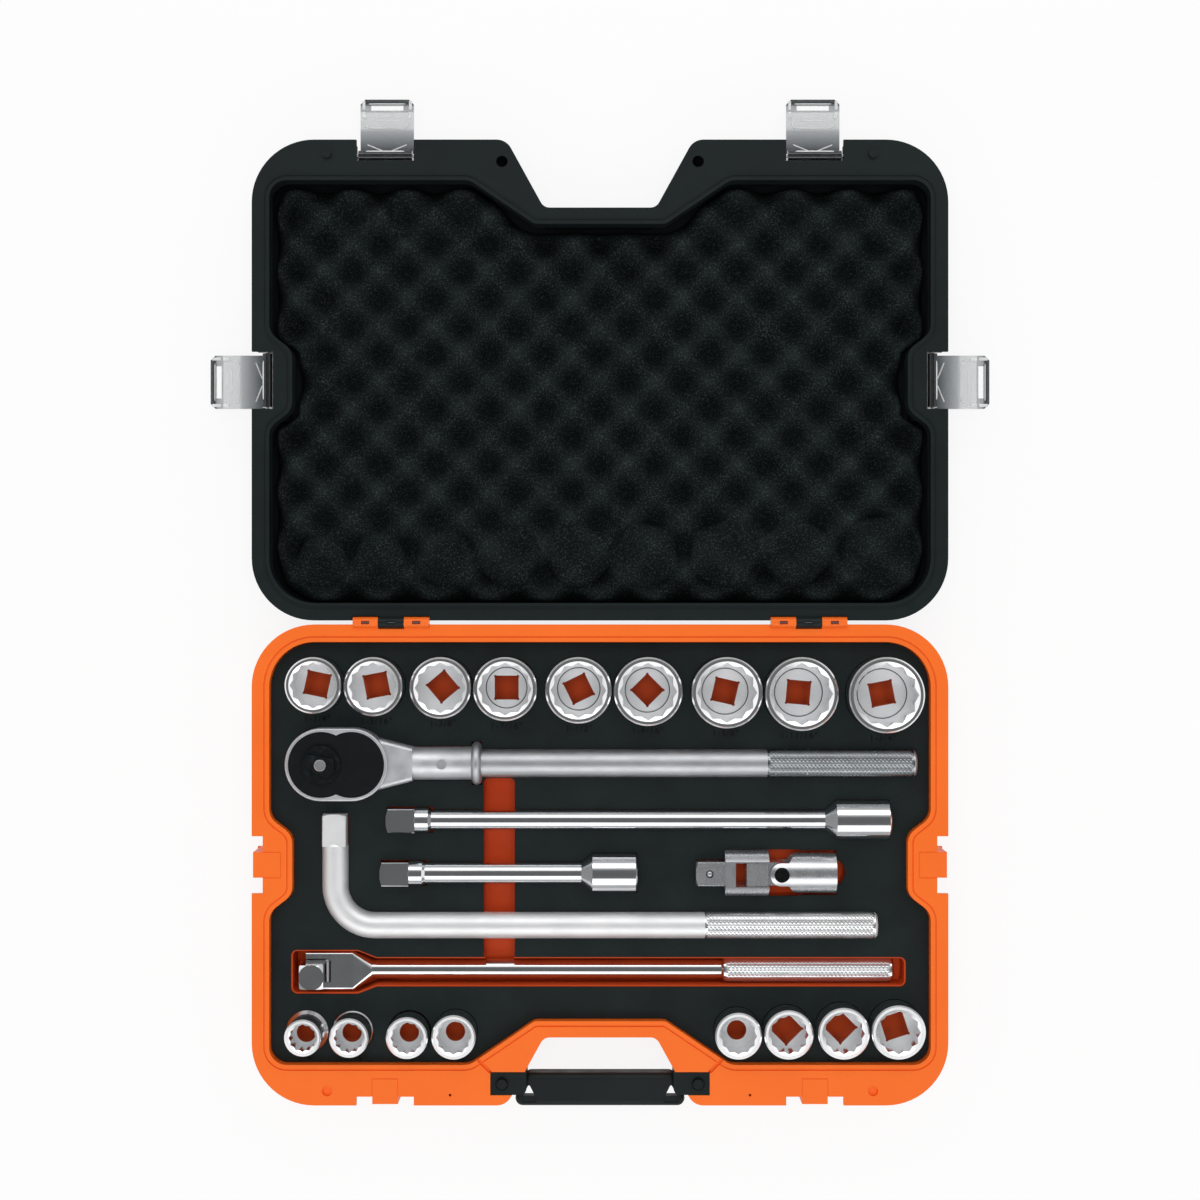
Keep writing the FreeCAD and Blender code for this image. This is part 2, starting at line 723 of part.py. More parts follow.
def make_handle():
    """Carry handle: tapered grip with rounded edges, ears with posts and bosses, two eyelets."""
    front = case_front - grip_beyond
    back = front + grip_deep
    top = rim - grip_drop
    plan = both_sides([(grip_front_half, front, grip_round), (grip_back_half, back, grip_round)])
    grip = prism(plan, top - grip_height, top)
    level_edges = [edge for edge in grip.Edges if edge.BoundBox.ZLength < 1e-6]
    grip = grip.makeFillet(grip_round - 1, level_edges)
    post = ear_post(0, grip_back_half, rim - ear_depth)
    boss = rod(boss_radius, V(ear_x, ear_y, rim - 2 * boss_ring), V(ear_x, ear_y, rim + boss_height))
    ring = rod(boss_radius + boss_ring, V(ear_x, ear_y, rim - boss_ring), V(ear_x, ear_y, rim + 1)).cut(boss)
    body = fuse([grip, post, mirrored(post), boss, mirrored(boss)])
    eye_y = (front + back) / 2
    half = eyelet_half
    corners = [(eyelet_x - half, eye_y - half, 1), (eyelet_x + half, eye_y - half, 1),
               (eyelet_x, eye_y + half, 1)]
    eye = prism(corners, 0, rim + 1)
    hollow = slot(eyelet_x - 1.5 * half, eyelet_x + 1.1 * half, eye_y, 1.5 * half, 2)
    under = prism(hollow, 0, top - eyelet_web)
    dish = prism([(eyelet_x - 1.3 * half, eye_y - 2 * half, 1), (eyelet_x + 1.3 * half, eye_y - 2 * half, 1),
                  (eyelet_x + half, eye_y - 0.9 * half, 1), (eyelet_x - half, eye_y - 0.9 * half, 1)],
                 top - eyelet_dish, top + 1)
    cuts = [ring, eye, under, dish]
    return body.cut(cuts + [mirrored(cut) for cut in cuts])


def disc(x, y, radius):
    return slot(x - radius, x + radius, y, radius, radius)


def flare(x0, x1, end, y, slim, wide):
    """Corners of a slot that widens between two stations and keeps that width to its end."""
    half = [(x0, -slim), (x1, -wide), (end, -wide), (end, wide), (x1, wide), (x0, slim)]
    return [(x, y + across, bar_corner) for x, across in half]


def pockets():
    """Plan outline, floor height and reach of the mat over it, for every pocket in the tray."""
    c = pocket_clearance
    corner = pocket_corner
    found = []
    for size, name, turn, x, y in sockets:
        floor = nose_top - socket_length(size)
        found.append((disc(x, y, socket_width(size) / 2 + c), floor, mat_overhang))

    def bar(x0, x1, y, radius):
        plan = slot(x0 - c, x1 + c, y, radius + c, bar_corner)
        found.append((plan, bar_z - radius - seat_gap, mat_overhang))

    head_wide = head_radius + c
    head_plan = slot(head_x - head_wide, head_x + head_stretch + head_wide, ratchet_y, head_wide, head_wide)
    found.append((head_plan, head_bottom - seat_gap, mat_overhang))
    found.append((disc(head_x, ratchet_y, drive * 0.75 + c), drive_bottom - seat_gap, mat_overhang))
    neck_plan = flare(neck_x, root_x, head_x, ratchet_y, -neck_half - c, -neck_root_half - c)
    found.append((neck_plan, bar_z - neck_half - seat_gap, mat_overhang))
    bar(neck_x - 2 * corner, collar_x, ratchet_y, neck_half)
    bar(collar_x, handle_x, ratchet_y, collar_radius)
    bar(handle_x - corner, handle_end, ratchet_y, handle_radius)
    for x, end, socket_x, y, radius in (
            (long_extension_x, long_end, long_socket_x, long_extension_y, long_extension_bar),
            (short_extension_x, short_end, short_socket_x, short_extension_y, short_extension_bar)):
        bar(x, x + male_length + extension_neck_length + extension_shoulder + 1, y, drive / 2 + ball_proud)
        bar(x + male_length, end, y, radius)
        wide = extension_socket + c
        socket_plan = flare(socket_x - extension_cone, socket_x, end + c, y, radius + c, wide)
        found.append((socket_plan, bar_z - extension_socket - seat_gap, mat_overhang))
    bar(joint_x, yoke_x + corner, joint_y, drive / 2 + ball_proud)
    bar(yoke_x, joint_barrel_x + corner, joint_y, yoke_radius)
    bar(fork_x, joint_end + joint_side_room / 2, joint_y, joint_socket_radius + joint_side_room)
    finger_room = slot(fork_x, joint_end + joint_room, joint_y, joint_room_half, joint_room_half)
    found.append((finger_room, bar_z - joint_socket_radius - seat_gap, mat_overhang))

    half = l_radius + c
    bend_in = max(l_bend - half, 1.0)
    l_top = l_end_y + c
    l_plan = [(l_x - half, l_top, bar_corner), (l_x - half, l_handle_y - half, l_bend + half),
              (l_end_x + c, l_handle_y - half, bar_corner), (l_end_x + c, l_handle_y + half, bar_corner),
              (l_x + half, l_handle_y + half, bend_in), (l_x + half, l_top, bar_corner)]
    found.append((l_plan, bar_z - l_radius - seat_gap, mat_overhang))

    wide = fork_half + c
    slim = flex_grip + c

    def flex_plan(end):
        shoulder = fork_end + corner
        return [(flex_pocket_x, breaker_y - wide, corner), (shoulder, breaker_y - wide, corner),
                (taper_end + corner, breaker_y - slim, corner), (end, breaker_y - slim, corner),
                (end, breaker_y + slim, corner), (taper_end + corner, breaker_y + slim, corner),
                (shoulder, breaker_y + wide, corner), (flex_pocket_x, breaker_y + wide, corner)]

    found.append((flex_plan(flex_pocket_end), breaker_z - flex_grip - seat_gap, -flex_margin))
    found.append((flex_plan(taper_end + 5 * corner), breaker_z - knuckle_r - seat_gap, -flex_margin))

    channel = slot(finger_x - finger_width / 2, finger_x + finger_width / 2,
                   (finger_front + finger_back) / 2, (finger_back - finger_front) / 2, corner)
    found.append((channel, mat_top - finger_depth, mat_overhang))
    return found


def make_tray():
    """Deck plate with a thin-walled cup or trough under every tool."""
    plate = prism(inset(deck_outline, tray_clearance), ledge_top, tray_top)
    cups = [prism(inset(plan, -tray_wall), floor - tray_wall, tray_top)
            for plan, floor, reach in pockets()]
    holes = [prism(plan, floor, tray_top + 1) for plan, floor, reach in pockets()]
    return fuse([plate] + cups).cut(fuse(holes))


def make_mat():
    sheet = prism(inset(deck_outline, mat_clearance), tray_top, mat_top)
    holes = [prism(inset(plan, reach), tray_top - 1, mat_top + 1) for plan, floor, reach in pockets()]
    return sheet.cut(fuse(holes))


def make_foam():
    """Egg-crate pad: a slab with staggered rows of blunt crests, glued into the lid."""
    plan = inset(deck_outline, foam_clearance)
    slab = prism(plan, wall, wall + foam_slab)
    inside = Part.Face(outline_wire(inset(plan, foam_crest_foot + 1)))

    def ring(radius, z):
        turn = 2 * math.pi / foam_sides
        points = [V(radius * math.cos(turn * (i + 0.5)), radius * math.sin(turn * (i + 0.5)), z)
                  for i in range(foam_sides)]
        return Part.makePolygon(points + points[:1])

    crest = Part.makeLoft([ring(foam_crest_foot, wall + foam_slab),
                           ring(foam_crest_top, wall + foam_slab + foam_crest)], True, True)
    crests = []
    rows = int((deck_back - deck_front) / foam_row)
    columns = int(2 * deck_half / foam_pitch)
    for j in range(rows + 1):
        y = (deck_back + deck_front) / 2 + (j - rows / 2) * foam_row
        for i in range(columns + 1):
            x = (i - columns / 2 + 0.5 * (j % 2)) * foam_pitch
            if inside.isInside(V(x, y, 0), 1e-3, True):
                crests.append(crest.translated(V(x, y, 0)))
    return to_lid(slab.multiFuse(crests))


def twelve_point(size, z0, z1):
    """Prism of two hexagons laid over each other, 30 degrees apart, by their size across flats."""
    points = []
    for i in range(24):
        radius = size / 2 / math.cos(math.radians(15 if i % 2 else 30))
        angle = math.radians(15 * i)
        points.append(V(radius * math.cos(angle), radius * math.sin(angle), z0))
    return Part.Face(Part.makePolygon(points + points[:1])).extrude(V(0, 0, z1 - z0))


def female_square(z0, z1):
    """Square hole for a drive, its corners relieved by small round grooves."""
    side = drive + 2 * drive_clearance
    at = side / 2 - square_relief / 2
    corners = [rod(square_relief, V(x, y, z0), V(x, y, z1)) for x in (-at, at) for y in (-at, at)]
    return fuse([square_bar(side, z0, z1)] + corners)


def make_socket(size, turn):
    """Socket on its drive end: stepped barrel, flared 12-point recess above, square drive below."""
    length = socket_length(size)
    nose = nose_diameter(size) / 2
    foot = drive_diameter(size) / 2
    across = size * INCH
    c = socket_chamfer
    shoulder = drive_depth + 2 * c
    slope = max(abs(nose - foot), c)
    barrel = turned([(0, foot - c), (c, foot), (shoulder, foot), (shoulder + slope, nose),
                     (length - c, nose), (length, nose - c)])
    depth = socket_recess_share * length
    corner = across / 2 / math.cos(math.radians(30)) + 0.8 * c
    flare = (corner - across / 2) * 0.6
    recess = fuse([twelve_point(across, length - depth, length + 1),
                   Part.makeCone(across / 2, corner, flare, V(0, 0, length - flare))])
    floor = length - depth
    cuts = [recess]
    if across >= drive * math.sqrt(2) - c:
        cuts.append(female_square(-1, floor + 1).rotated(V(), V(0, 0, 1), turn))
    else:
        cuts.append(female_square(-1, drive_depth))
        cuts.append(rod(socket_through / 2, V(0, 0, 0), V(0, 0, floor + 1)))
    if floor_ring * across > drive * math.sqrt(2) + 2 * square_relief:
        cuts.append(rod(floor_ring * across / 2, V(0, 0, floor - floor_ring_deep), V(0, 0, floor + 1)))
    return barrel.cut(cuts)


def male_square(length):
    """Square drive along +Z from its chamfered tip at 0, its corners turned to a radius."""
    corner = drive * math.sqrt(2) / 2 - drive_corner
    trim = turned([(0, corner - 2 * drive_chamfer), (drive_chamfer, corner - drive_corner / 2),
                   (length, corner)])
    return square_bar(drive, 0, length).common(trim)


def ball_bore(face, outward):
    """Blind bore for a detent ball, from a point on a face of the square."""
    return rod(ball_radius + ball_bore_clearance, face - outward * ball_bore_depth, face + outward)


def detent_ball(face, outward):
    return Part.makeSphere(ball_radius, face - outward * (ball_radius - ball_proud))


def lobes(radius, z0, z1):
    """Two upright discs over the drive axis and the pawl."""
    ends = [head_x, head_x + head_stretch]
    return fuse([rod(radius, V(x, ratchet_y, z0), V(x, ratchet_y, z1)) for x in ends])


def section(x, y, z, half_wide, half_high, corner):
    """Rounded rectangle across a bar that lies along X."""
    plan = [(-half_high, -half_wide, corner), (half_high, -half_wide, corner),
            (half_high, half_wide, corner), (-half_high, half_wide, corner)]
    return outline_wire(plan).rotated(V(), V(0, 1, 0), 90).translated(V(x, y, z))


def gear_prism(grow, z0, z1):
    """Toothed wheel about Z at the origin, its flanks moved outwards by an amount."""
    tip = gear_radius + grow
    root = tip - gear_tooth_depth
    pitch = 2 * math.pi / gear_teeth
    points = []
    for i in range(gear_teeth):
        for radius, share in ((root, -0.34), (tip, -0.14), (tip, 0.14), (root, 0.34)):
            spread = math.copysign(grow / radius, share)
            angle = (i + share) * pitch + spread
            points.append(V(radius * math.cos(angle), radius * math.sin(angle), z0))
    return Part.Face(Part.makePolygon(points + points[:1])).extrude(V(0, 0, z1 - z0))


gear_low = chamber_floor + seat_gap
gear_high = gear_low + gear_width
pawl_x = head_x + pawl_arm


def make_ratchet_head():
    """Two-lobed forging with gear chamber and pawl post, neck, and a ferrule bored for the handle."""
    far = head_x + head_stretch + head_radius
    body = prism(slot(head_x - head_radius, far, ratchet_y, head_radius, head_radius), head_bottom, head_top)
    rims = [edge for edge in body.Edges if edge.BoundBox.ZLength < 1e-6]
    body = body.makeFillet(head_rim / 2, rims)
    neck = Part.makeLoft([section(root_x, ratchet_y, bar_z, neck_root_half, neck_half, neck_corner),
                          section(neck_x, ratchet_y, bar_z, neck_half, neck_half, neck_corner)], True, True)
    ferrule = rod(ferrule_radius, V(neck_x - 1, ratchet_y, bar_z), V(collar_x, ratchet_y, bar_z))
    body = fuse([body, neck, ferrule])
    pawl_plan = slot(head_x, pawl_x + pawl_back + pawl_room, ratchet_y, pawl_half + pawl_room, pawl_room)
    chamber = fuse([
        upright(head_x, ratchet_y, chamber_floor, head_top, gear_radius + gear_clearance),
        prism(pawl_plan, chamber_floor, cover_bottom)])
    journal = rod(gear_journal + journal_clearance, V(head_x, ratchet_y, head_bottom - 1),
                  V(head_x, ratchet_y, chamber_floor + 1))
    body = body.cut([chamber, journal, lobes(head_radius - head_rim, cover_bottom, head_top + 1)])
    post = rod(pawl_post, V(pawl_x, ratchet_y, chamber_floor - 1), V(pawl_x, ratchet_y, cover_bottom))
    tang_bore = rod(tang_radius + tang_clearance, V(neck_x + wall, ratchet_y, bar_z),
                    V(collar_x + 1, ratchet_y, bar_z))
    return fuse([body, post]).cut([tang_bore, lock_pin(lock_pin_clearance)])


def lock_pin(grow):
    x = neck_x + lock_pin_share * ferrule_length
    return rod(lock_pin_radius + grow, V(x, ratchet_y, bar_z + tang_radius / 2 - grow),
               V(x, ratchet_y, bar_z + ferrule_radius + lock_pin_proud))


def make_ratchet_cover():
    plate = lobes(head_radius - head_rim - journal_clearance, cover_bottom, cover_top)
    hole = rod(gear_collar + journal_clearance, V(head_x, ratchet_y, 0), V(head_x, ratchet_y, head_top))
    return plate.cut(hole)


def ratchet_ball_face():
    return V(head_x, ratchet_y - drive / 2, drive_bottom + ball_inset), V(0, -1, 0)


def make_drive_gear():
    """Toothed wheel with journal, collar and square drive, bored for the release button."""
    wheel = fuse([
        gear_prism(0, gear_low, gear_high),
        rod(gear_journal, V(0, 0, head_bottom - 2 * seat_gap), V(0, 0, gear_low + 1)),
        rod(gear_collar, V(0, 0, gear_high - 1), V(0, 0, cover_top - button_clearance)),
        male_square(drive_length - seat_gap).translated(V(0, 0, drive_bottom))])
    stem = rod(button_stem + button_clearance, V(0, 0, button_foot - button_travel - button_spare),
               V(0, 0, head_top))
    wheel = wheel.cut(stem).translated(V(head_x, ratchet_y, 0))
    return wheel.cut(ball_bore(*ratchet_ball_face()))


button_foot = drive_bottom + ball_inset + ball_radius
dial_low = cover_top + dial_gap
lever_top = dial_low + dial_thickness + dial_lever


def make_pawl():
    """Rocking pawl on its post, its two ends toothed by the gear, resting on one end."""
    front = head_x + gear_radius * 0.5
    block = prism(slot(front, pawl_x + pawl_back, ratchet_y, pawl_half, pawl_room), gear_low, gear_high)
    gear = gear_prism(pawl_backlash, gear_low - 1, gear_high + 1).translated(V(head_x, ratchet_y, 0))
    steps = 6
    places = [pawl_rock * (2 * i / steps - 1) for i in range(steps + 1)]
    pivot = V(pawl_x, ratchet_y, 0)
    cuts = [gear.rotated(pivot, V(0, 0, 1), angle) for angle in places]
    cuts.append(rod(gear_radius + pawl_backlash, V(head_x, ratchet_y, gear_low - 1),
                    V(head_x, ratchet_y, gear_high + 1)))
    cuts.append(rod(pawl_post + journal_clearance, V(pawl_x, ratchet_y, gear_low - 1),
                    V(pawl_x, ratchet_y, gear_high + 1)))
    return block.cut(cuts).rotated(pivot, V(0, 0, 1), -pawl_rock)


def make_dial():
    """Reverse dial: low disc with a tapered finger bar, open in the middle for the button."""
    disc_part = rod(dial_radius, V(0, 0, dial_low), V(0, 0, dial_low + dial_thickness))
    shares = [(-0.9, -0.3), (0.55, -0.55), (0.8, 0), (0.55, 0.55), (-0.9, 0.3)]
    plan = [(dial_radius * along, dial_radius * across, dial_corner) for along, across in shares]
    bar = prism(plan, dial_low + dial_thickness - 1, lever_top).rotated(V(), V(0, 0, 1), dial_turn)
    hole = rod(button_radius + button_clearance, V(), V(0, 0, lever_top + 1))
    return fuse([disc_part, bar]).cut(hole).translated(V(head_x, ratchet_y, 0))


def make_button():
    top = lever_top + button_proud
    head_low = cover_top + button_travel + 2 * dial_gap
    return fuse([rod(button_stem, V(head_x, ratchet_y, button_foot), V(head_x, ratchet_y, top - 1)),
                 turned([(head_low, button_radius), (top - button_edge, button_radius),
                         (top, button_radius - button_edge)]).translated(V(head_x, ratchet_y, 0))])


def make_ratchet_handle():
    """Round handle: tang in the ferrule, rolled collar bead, plain tube, chamfered end."""
    bead = collar_length / 2
    tang = collar_x - neck_x - 2 * wall
    end = collar_length + handle_length
    body = turned([(-tang, tang_radius - 1), (1 - tang, tang_radius), (0, tang_radius),
                   (0, collar_radius - bead), (collar_length, collar_radius - bead),
                   (collar_length, handle_radius), (end - end_chamfer, handle_radius),
                   (end, handle_radius - end_chamfer)])
    ring = Part.makeTorus(collar_radius - bead, bead, V(0, 0, bead))
    body = lying(fuse([body, ring]), collar_x, ratchet_y, bar_z)
    return body.cut(lock_pin(lock_pin_clearance))


def make_extension(length, radius, socket_long):
    """Extension bar along +Z: male square, collar, turned bar, female end with its square."""
    neck_top = male_length + extension_neck_length
    socket_low = length - socket_long
    c = socket_chamfer
    bar = turned([(male_length, extension_neck - c), (male_length + c, extension_neck),
                  (neck_top, extension_neck), (neck_top + extension_shoulder, radius),
                  (socket_low - extension_cone, radius), (socket_low, extension_socket),
                  (length - c, extension_socket), (length, extension_socket - c)])
    return fuse([male_square(male_length + 1), bar]).cut(female_square(length - drive_depth, length + 1))


def across_x(x, y0, y1, radius, z=bar_z):
    return rod(radius, V(x, y0, z), V(x, y1, z))


def upright(x, y, z0, z1, radius):
    return rod(radius, V(x, y, z0), V(x, y, z1))


def make_drive_yoke():
    """Universal joint, driven half: square, bridge and two ears bored for the level pin."""
    body = rod(yoke_radius, V(yoke_x, joint_y, bar_z), V(yoke_end, joint_y, bar_z)).common(
        box(yoke_x, yoke_end, joint_y - yoke_radius, joint_y + yoke_radius,
            bar_z - yoke_height, bar_z + yoke_height))
    square = lying(male_square(joint_male + 1), joint_x, joint_y, bar_z)
    gap = box(yoke_x + yoke_bridge, yoke_end + 1, joint_y - yoke_gap / 2, joint_y + yoke_gap / 2,
              0, 2 * bar_z)
    hole = across_x(cross_x, joint_y - yoke_radius, joint_y + yoke_radius, cross_pin + joint_pin_clearance)
    return fuse([body, square]).cut([gap, hole, ball_bore(*joint_ball_face())])


def joint_ball_face():
    return V(joint_x + ball_inset, joint_y, bar_z + drive / 2), V(0, 0, 1)


def fork_eye(radius, z0, z1):
    return upright(fork_x, joint_y, bar_z + z0, bar_z + z1, radius)


def make_joint_block():
    """Centre block: tall between the drive yoke's ears, thin in the socket yoke's fork."""
    half = block_width / 2
    tall = box(cross_x - block_end, yoke_end - 1, joint_y - half, joint_y + half,
               bar_z - block_head, bar_z + block_head)
    tall = tall.cut(fork_eye(half + 2 * fork_gap, -block_head, block_head))
    thin = fuse([box(cross_x, fork_x, joint_y - half, joint_y + half,
                     bar_z - block_height / 2, bar_z + block_height / 2),
                 fork_eye(half, -block_height / 2, block_height / 2)])
    holes = [across_x(cross_x, joint_y - half, joint_y + half, cross_pin),
             fork_eye(fork_pin, -block_head, block_head)]
    return fuse([tall, thin]).cut(holes)


def make_joint_pins():
    level = yoke_radius - cross_pin_shy
    tall = joint_socket_radius - joint_pin_shy
    return Part.makeCompound([across_x(cross_x, joint_y - level, joint_y + level, cross_pin),
                              fork_eye(fork_pin, -tall, tall)])


def make_socket_yoke():
    """Universal joint, driving half: round-ended ears over the upright pin, barrel with its square."""
    half = block_width / 2
    barrel = rod(joint_socket_radius, V(fork_x - half, joint_y, bar_z), V(joint_end, joint_y, bar_z))
    ears = fuse([fork_eye(half, -joint_socket_radius, joint_socket_radius),
                 box(fork_x, joint_barrel_x, joint_y - half, joint_y + half, 0, 2 * bar_z)])
    wide = joint_socket_radius
    shoulder = Part.makeLoft([section(fork_x + half * 0.6, joint_y, bar_z, half, wide, 1),
                              section(joint_barrel_x, joint_y, bar_z, wide, wide, 1)], True, True)
    keep = fuse([ears, shoulder,
                 box(joint_barrel_x, joint_end, joint_y - wide, joint_y + wide, 0, 2 * bar_z)])
    body = barrel.common(keep)
    open_half = block_height / 2 + fork_gap
    throat = box(fork_x - 2 * half, fork_x + half + 3 * fork_gap, joint_y - wide, joint_y + wide,
                 bar_z - open_half, bar_z + open_half)
    square = lying(female_square(-drive_depth, 1), joint_end, joint_y, bar_z)
    return body.cut([throat, square, fork_eye(fork_pin + joint_pin_clearance, -wide, wide)])


def make_l_handle():
    """Bent bar: square end on the short leg, round bend, long leg with a chamfered end."""
    corner_x = l_x + l_bend
    corner_y = l_handle_y + l_bend
    long_leg = lying(turned([(0, l_radius), (l_end_x - corner_x - end_chamfer, l_radius),
                             (l_end_x - corner_x, l_radius - end_chamfer)]), corner_x, l_handle_y, bar_z)
    ring = Part.Face(Part.Wire(Part.makeCircle(l_radius, V(corner_x, l_handle_y, bar_z), V(1, 0, 0))))
    bend = ring.revolve(V(corner_x, corner_y, bar_z), V(0, 0, -1), 90)
    neck_y = l_end_y - l_square_length
    short_leg = turned([(corner_y, l_radius), (neck_y - l_neck, l_radius), (neck_y, l_radius - end_chamfer)])
    square = male_square(l_square_length + l_neck).mirror(V(), V(0, 0, 1)).translated(V(0, 0, l_end_y))
    leg = fuse([short_leg, square]).rotated(V(), V(1, 0, 0), -90).translated(V(l_x, 0, bar_z))
    return fuse([long_leg, bend, leg])


def make_flex_bar():
    """Flex handle: forked end, taper, slim bar and thicker grip."""
    fork = box(pivot_x - fork_cheek, fork_end, breaker_y - fork_half, breaker_y + fork_half,
               breaker_z - fork_height, breaker_z + fork_height)
    fork = fork.makeFillet(fork_edge, [edge for edge in fork.Edges if edge.BoundBox.XLength > fork_root])
    taper = Part.makeLoft([section(fork_end, breaker_y, breaker_z, fork_half, fork_height, fork_edge),
                           section(taper_end, breaker_y, breaker_z, flex_bar, flex_bar, 0.9 * flex_bar)],
                          True, True)
    grip = flex_grip_x - taper_end
    end = flex_end_x - taper_end
    bar = lying(turned([(0, flex_bar), (grip - 2, flex_bar), (grip, flex_grip),
                        (end - end_chamfer, flex_grip), (end, flex_grip - end_chamfer)]),
                taper_end, breaker_y, breaker_z)
    half = fork_slot / 2
    reach = knuckle_r + fork_clearance
    gap = fuse([box(pivot_x - 2 * reach, pivot_x, breaker_y - half, breaker_y + half,
                    breaker_z - reach, breaker_z + reach),
                across_x(pivot_x, breaker_y - half, breaker_y + half, reach, breaker_z)])
    hole = across_x(pivot_x, breaker_y - fork_half, breaker_y + fork_half, flex_pin, breaker_z)
    return fuse([fork, taper, bar]).cut([gap, hole])


def flex_ball_face():
    return V(pivot_x - drive / 2, breaker_y, breaker_z + knuckle_r + flex_tang - ball_inset), V(-1, 0, 0)


def make_flex_head():
    """Swivelling head: round tongue in the fork and an upright square drive."""
    half = tongue / 2
    disc_part = across_x(pivot_x, breaker_y - half, breaker_y + half, knuckle_r, breaker_z)
    square = male_square(flex_tang + 0.5).mirror(V(), V(0, 0, 1))
    square = square.translated(V(pivot_x, breaker_y, breaker_z + knuckle_r + flex_tang))
    hole = across_x(pivot_x, breaker_y - half, breaker_y + half, flex_pin + joint_pin_clearance, breaker_z)
    return fuse([disc_part, square]).cut([hole, ball_bore(*flex_ball_face())])


def extension_ball_face(x, y):
    return V(x + ball_inset, y - drive / 2, bar_z), V(0, -1, 0)


pieces = {
    "case_base": make_case_base(),
    "case_lid": make_case_lid(),
    "tool_tray": make_tray(),
    "deck_mat": make_mat(),
    "lid_foam": make_foam(),
    "carry_handle": make_handle(),
    "hinge_pins": Part.makeCompound(hinge_line(hinge_pin)),
    "latch_pins": to_lid(Part.makeCompound(list(at_latches(latch_pin_rod(latch_pin, 0.2)).values()))),
    "ratchet_head": make_ratchet_head(),
    "ratchet_cover": make_ratchet_cover(),
    "drive_gear": make_drive_gear(),
    "ratchet_pawl": make_pawl(),
    "reverse_dial": make_dial(),
    "release_button": make_button(),
    "ratchet_handle": make_ratchet_handle(),
    "handle_lock_pin": lock_pin(0),
    "ratchet_ball": detent_ball(*ratchet_ball_face()),
    "joint_drive_yoke": make_drive_yoke(),
    "joint_block": make_joint_block(),
    "joint_pins": make_joint_pins(),
    "joint_socket_yoke": make_socket_yoke(),
    "joint_ball": detent_ball(*joint_ball_face()),
    "l_handle": make_l_handle(),
    "flex_bar": make_flex_bar(),
    "flex_head": make_flex_head(),
    "flex_pin": across_x(pivot_x, breaker_y - fork_half + flex_pin_shy, breaker_y + fork_half - flex_pin_shy,
                         flex_pin, breaker_z),
    "flex_ball": detent_ball(*flex_ball_face()),
}
for name, shape in at_latches(make_latch()).items():
    pieces[name] = to_lid(shape)
for size, name, turn, x, y in sockets:
    pieces[name] = make_socket(size, turn).translated(V(x, y, nose_top - socket_length(size)))
for name, x, y, length, radius, socket_long in (
        ("long_extension", long_extension_x, long_extension_y, long_extension_length,
         long_extension_bar, long_extension_socket_length),
        ("short_extension", short_extension_x, short_extension_y, short_extension_length,
         short_extension_bar, short_extension_socket_length)):
    ball_face = extension_ball_face(x, y)
    pieces[name] = lying(make_extension(length, radius, socket_long), x, y, bar_z).cut(ball_bore(*ball_face))
    pieces[name + "_ball"] = detent_ball(*ball_face)

for name, shape in pieces.items():
    shape.exportStep("parts/%s.step" % name)
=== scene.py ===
"""Looks of a socket wrench set in its moulded case: a finish for every solid, and the lid's foam, the
knurled grips, the size marks, the latches' ribs and the sockets' floor rings, worked out as surfaces; the
foam, the latches, their ribs, the rings and the tray carry painted light and shade."""
import json
import math

import bpy
import numpy as np
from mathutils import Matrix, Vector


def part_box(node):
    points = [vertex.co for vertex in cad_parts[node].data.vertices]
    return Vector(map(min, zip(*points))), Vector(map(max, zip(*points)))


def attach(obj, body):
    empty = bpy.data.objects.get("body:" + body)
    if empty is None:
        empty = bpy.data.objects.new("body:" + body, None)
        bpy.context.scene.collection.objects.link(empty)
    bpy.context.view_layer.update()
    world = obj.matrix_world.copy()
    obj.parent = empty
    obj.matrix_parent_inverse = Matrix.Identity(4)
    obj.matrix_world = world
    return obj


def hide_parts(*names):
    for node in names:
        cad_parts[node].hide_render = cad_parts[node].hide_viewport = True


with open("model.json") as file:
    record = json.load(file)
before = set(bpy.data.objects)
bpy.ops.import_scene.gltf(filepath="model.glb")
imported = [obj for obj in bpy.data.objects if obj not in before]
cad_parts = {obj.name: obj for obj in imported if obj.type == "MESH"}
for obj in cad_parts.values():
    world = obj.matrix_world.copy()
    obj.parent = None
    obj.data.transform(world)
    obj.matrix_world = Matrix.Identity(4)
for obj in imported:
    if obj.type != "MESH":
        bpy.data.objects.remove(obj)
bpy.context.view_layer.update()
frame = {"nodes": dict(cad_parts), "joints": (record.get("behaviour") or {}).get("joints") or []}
nodes = frame["nodes"]
MM = 0.001

socket_nodes = [name for name in nodes if name.startswith("socket_")]
upper_sockets = [name for name in socket_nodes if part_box(name)[0][1] > 0]
lower_sockets = [name for name in socket_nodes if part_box(name)[0][1] < 0]
latch_nodes = [name for name in nodes if name.startswith("latch_") and name != "latch_pins"]
ball_nodes = [name for name in nodes if name.endswith("_ball")]
hinge_y = next(joint for joint in frame["joints"] if joint["name"] == "lid_hinge")["pos_m"][1] / MM


# Colours and patterns

def colour(text):
    """Linear RGBA of an sRGB hex value."""
    parts = [int(text[i:i + 2], 16) / 255 for i in (0, 2, 4)]
    linear = [p / 12.92 if p <= 0.04045 else ((p + 0.055) / 1.055) ** 2.4 for p in parts]
    return (*linear, 1.0)


def add(tree, kind, inputs=None, **settings):
    """Adds a node with its settings; an input given as a socket is linked, any other value is set."""
    made = tree.nodes.new("ShaderNode" + kind)
    for name, value in settings.items():
        setattr(made, name, value)
    for key, value in (inputs or {}).items():
        if isinstance(value, bpy.types.NodeSocket):
            tree.links.new(value, made.inputs[key])
        else:
            made.inputs[key].default_value = value
    return made


def grain_scale(size_mm):
    """Noise scale whose features are about a size in millimetres, on coordinates in metres."""
    return 1 / (size_mm * MM)


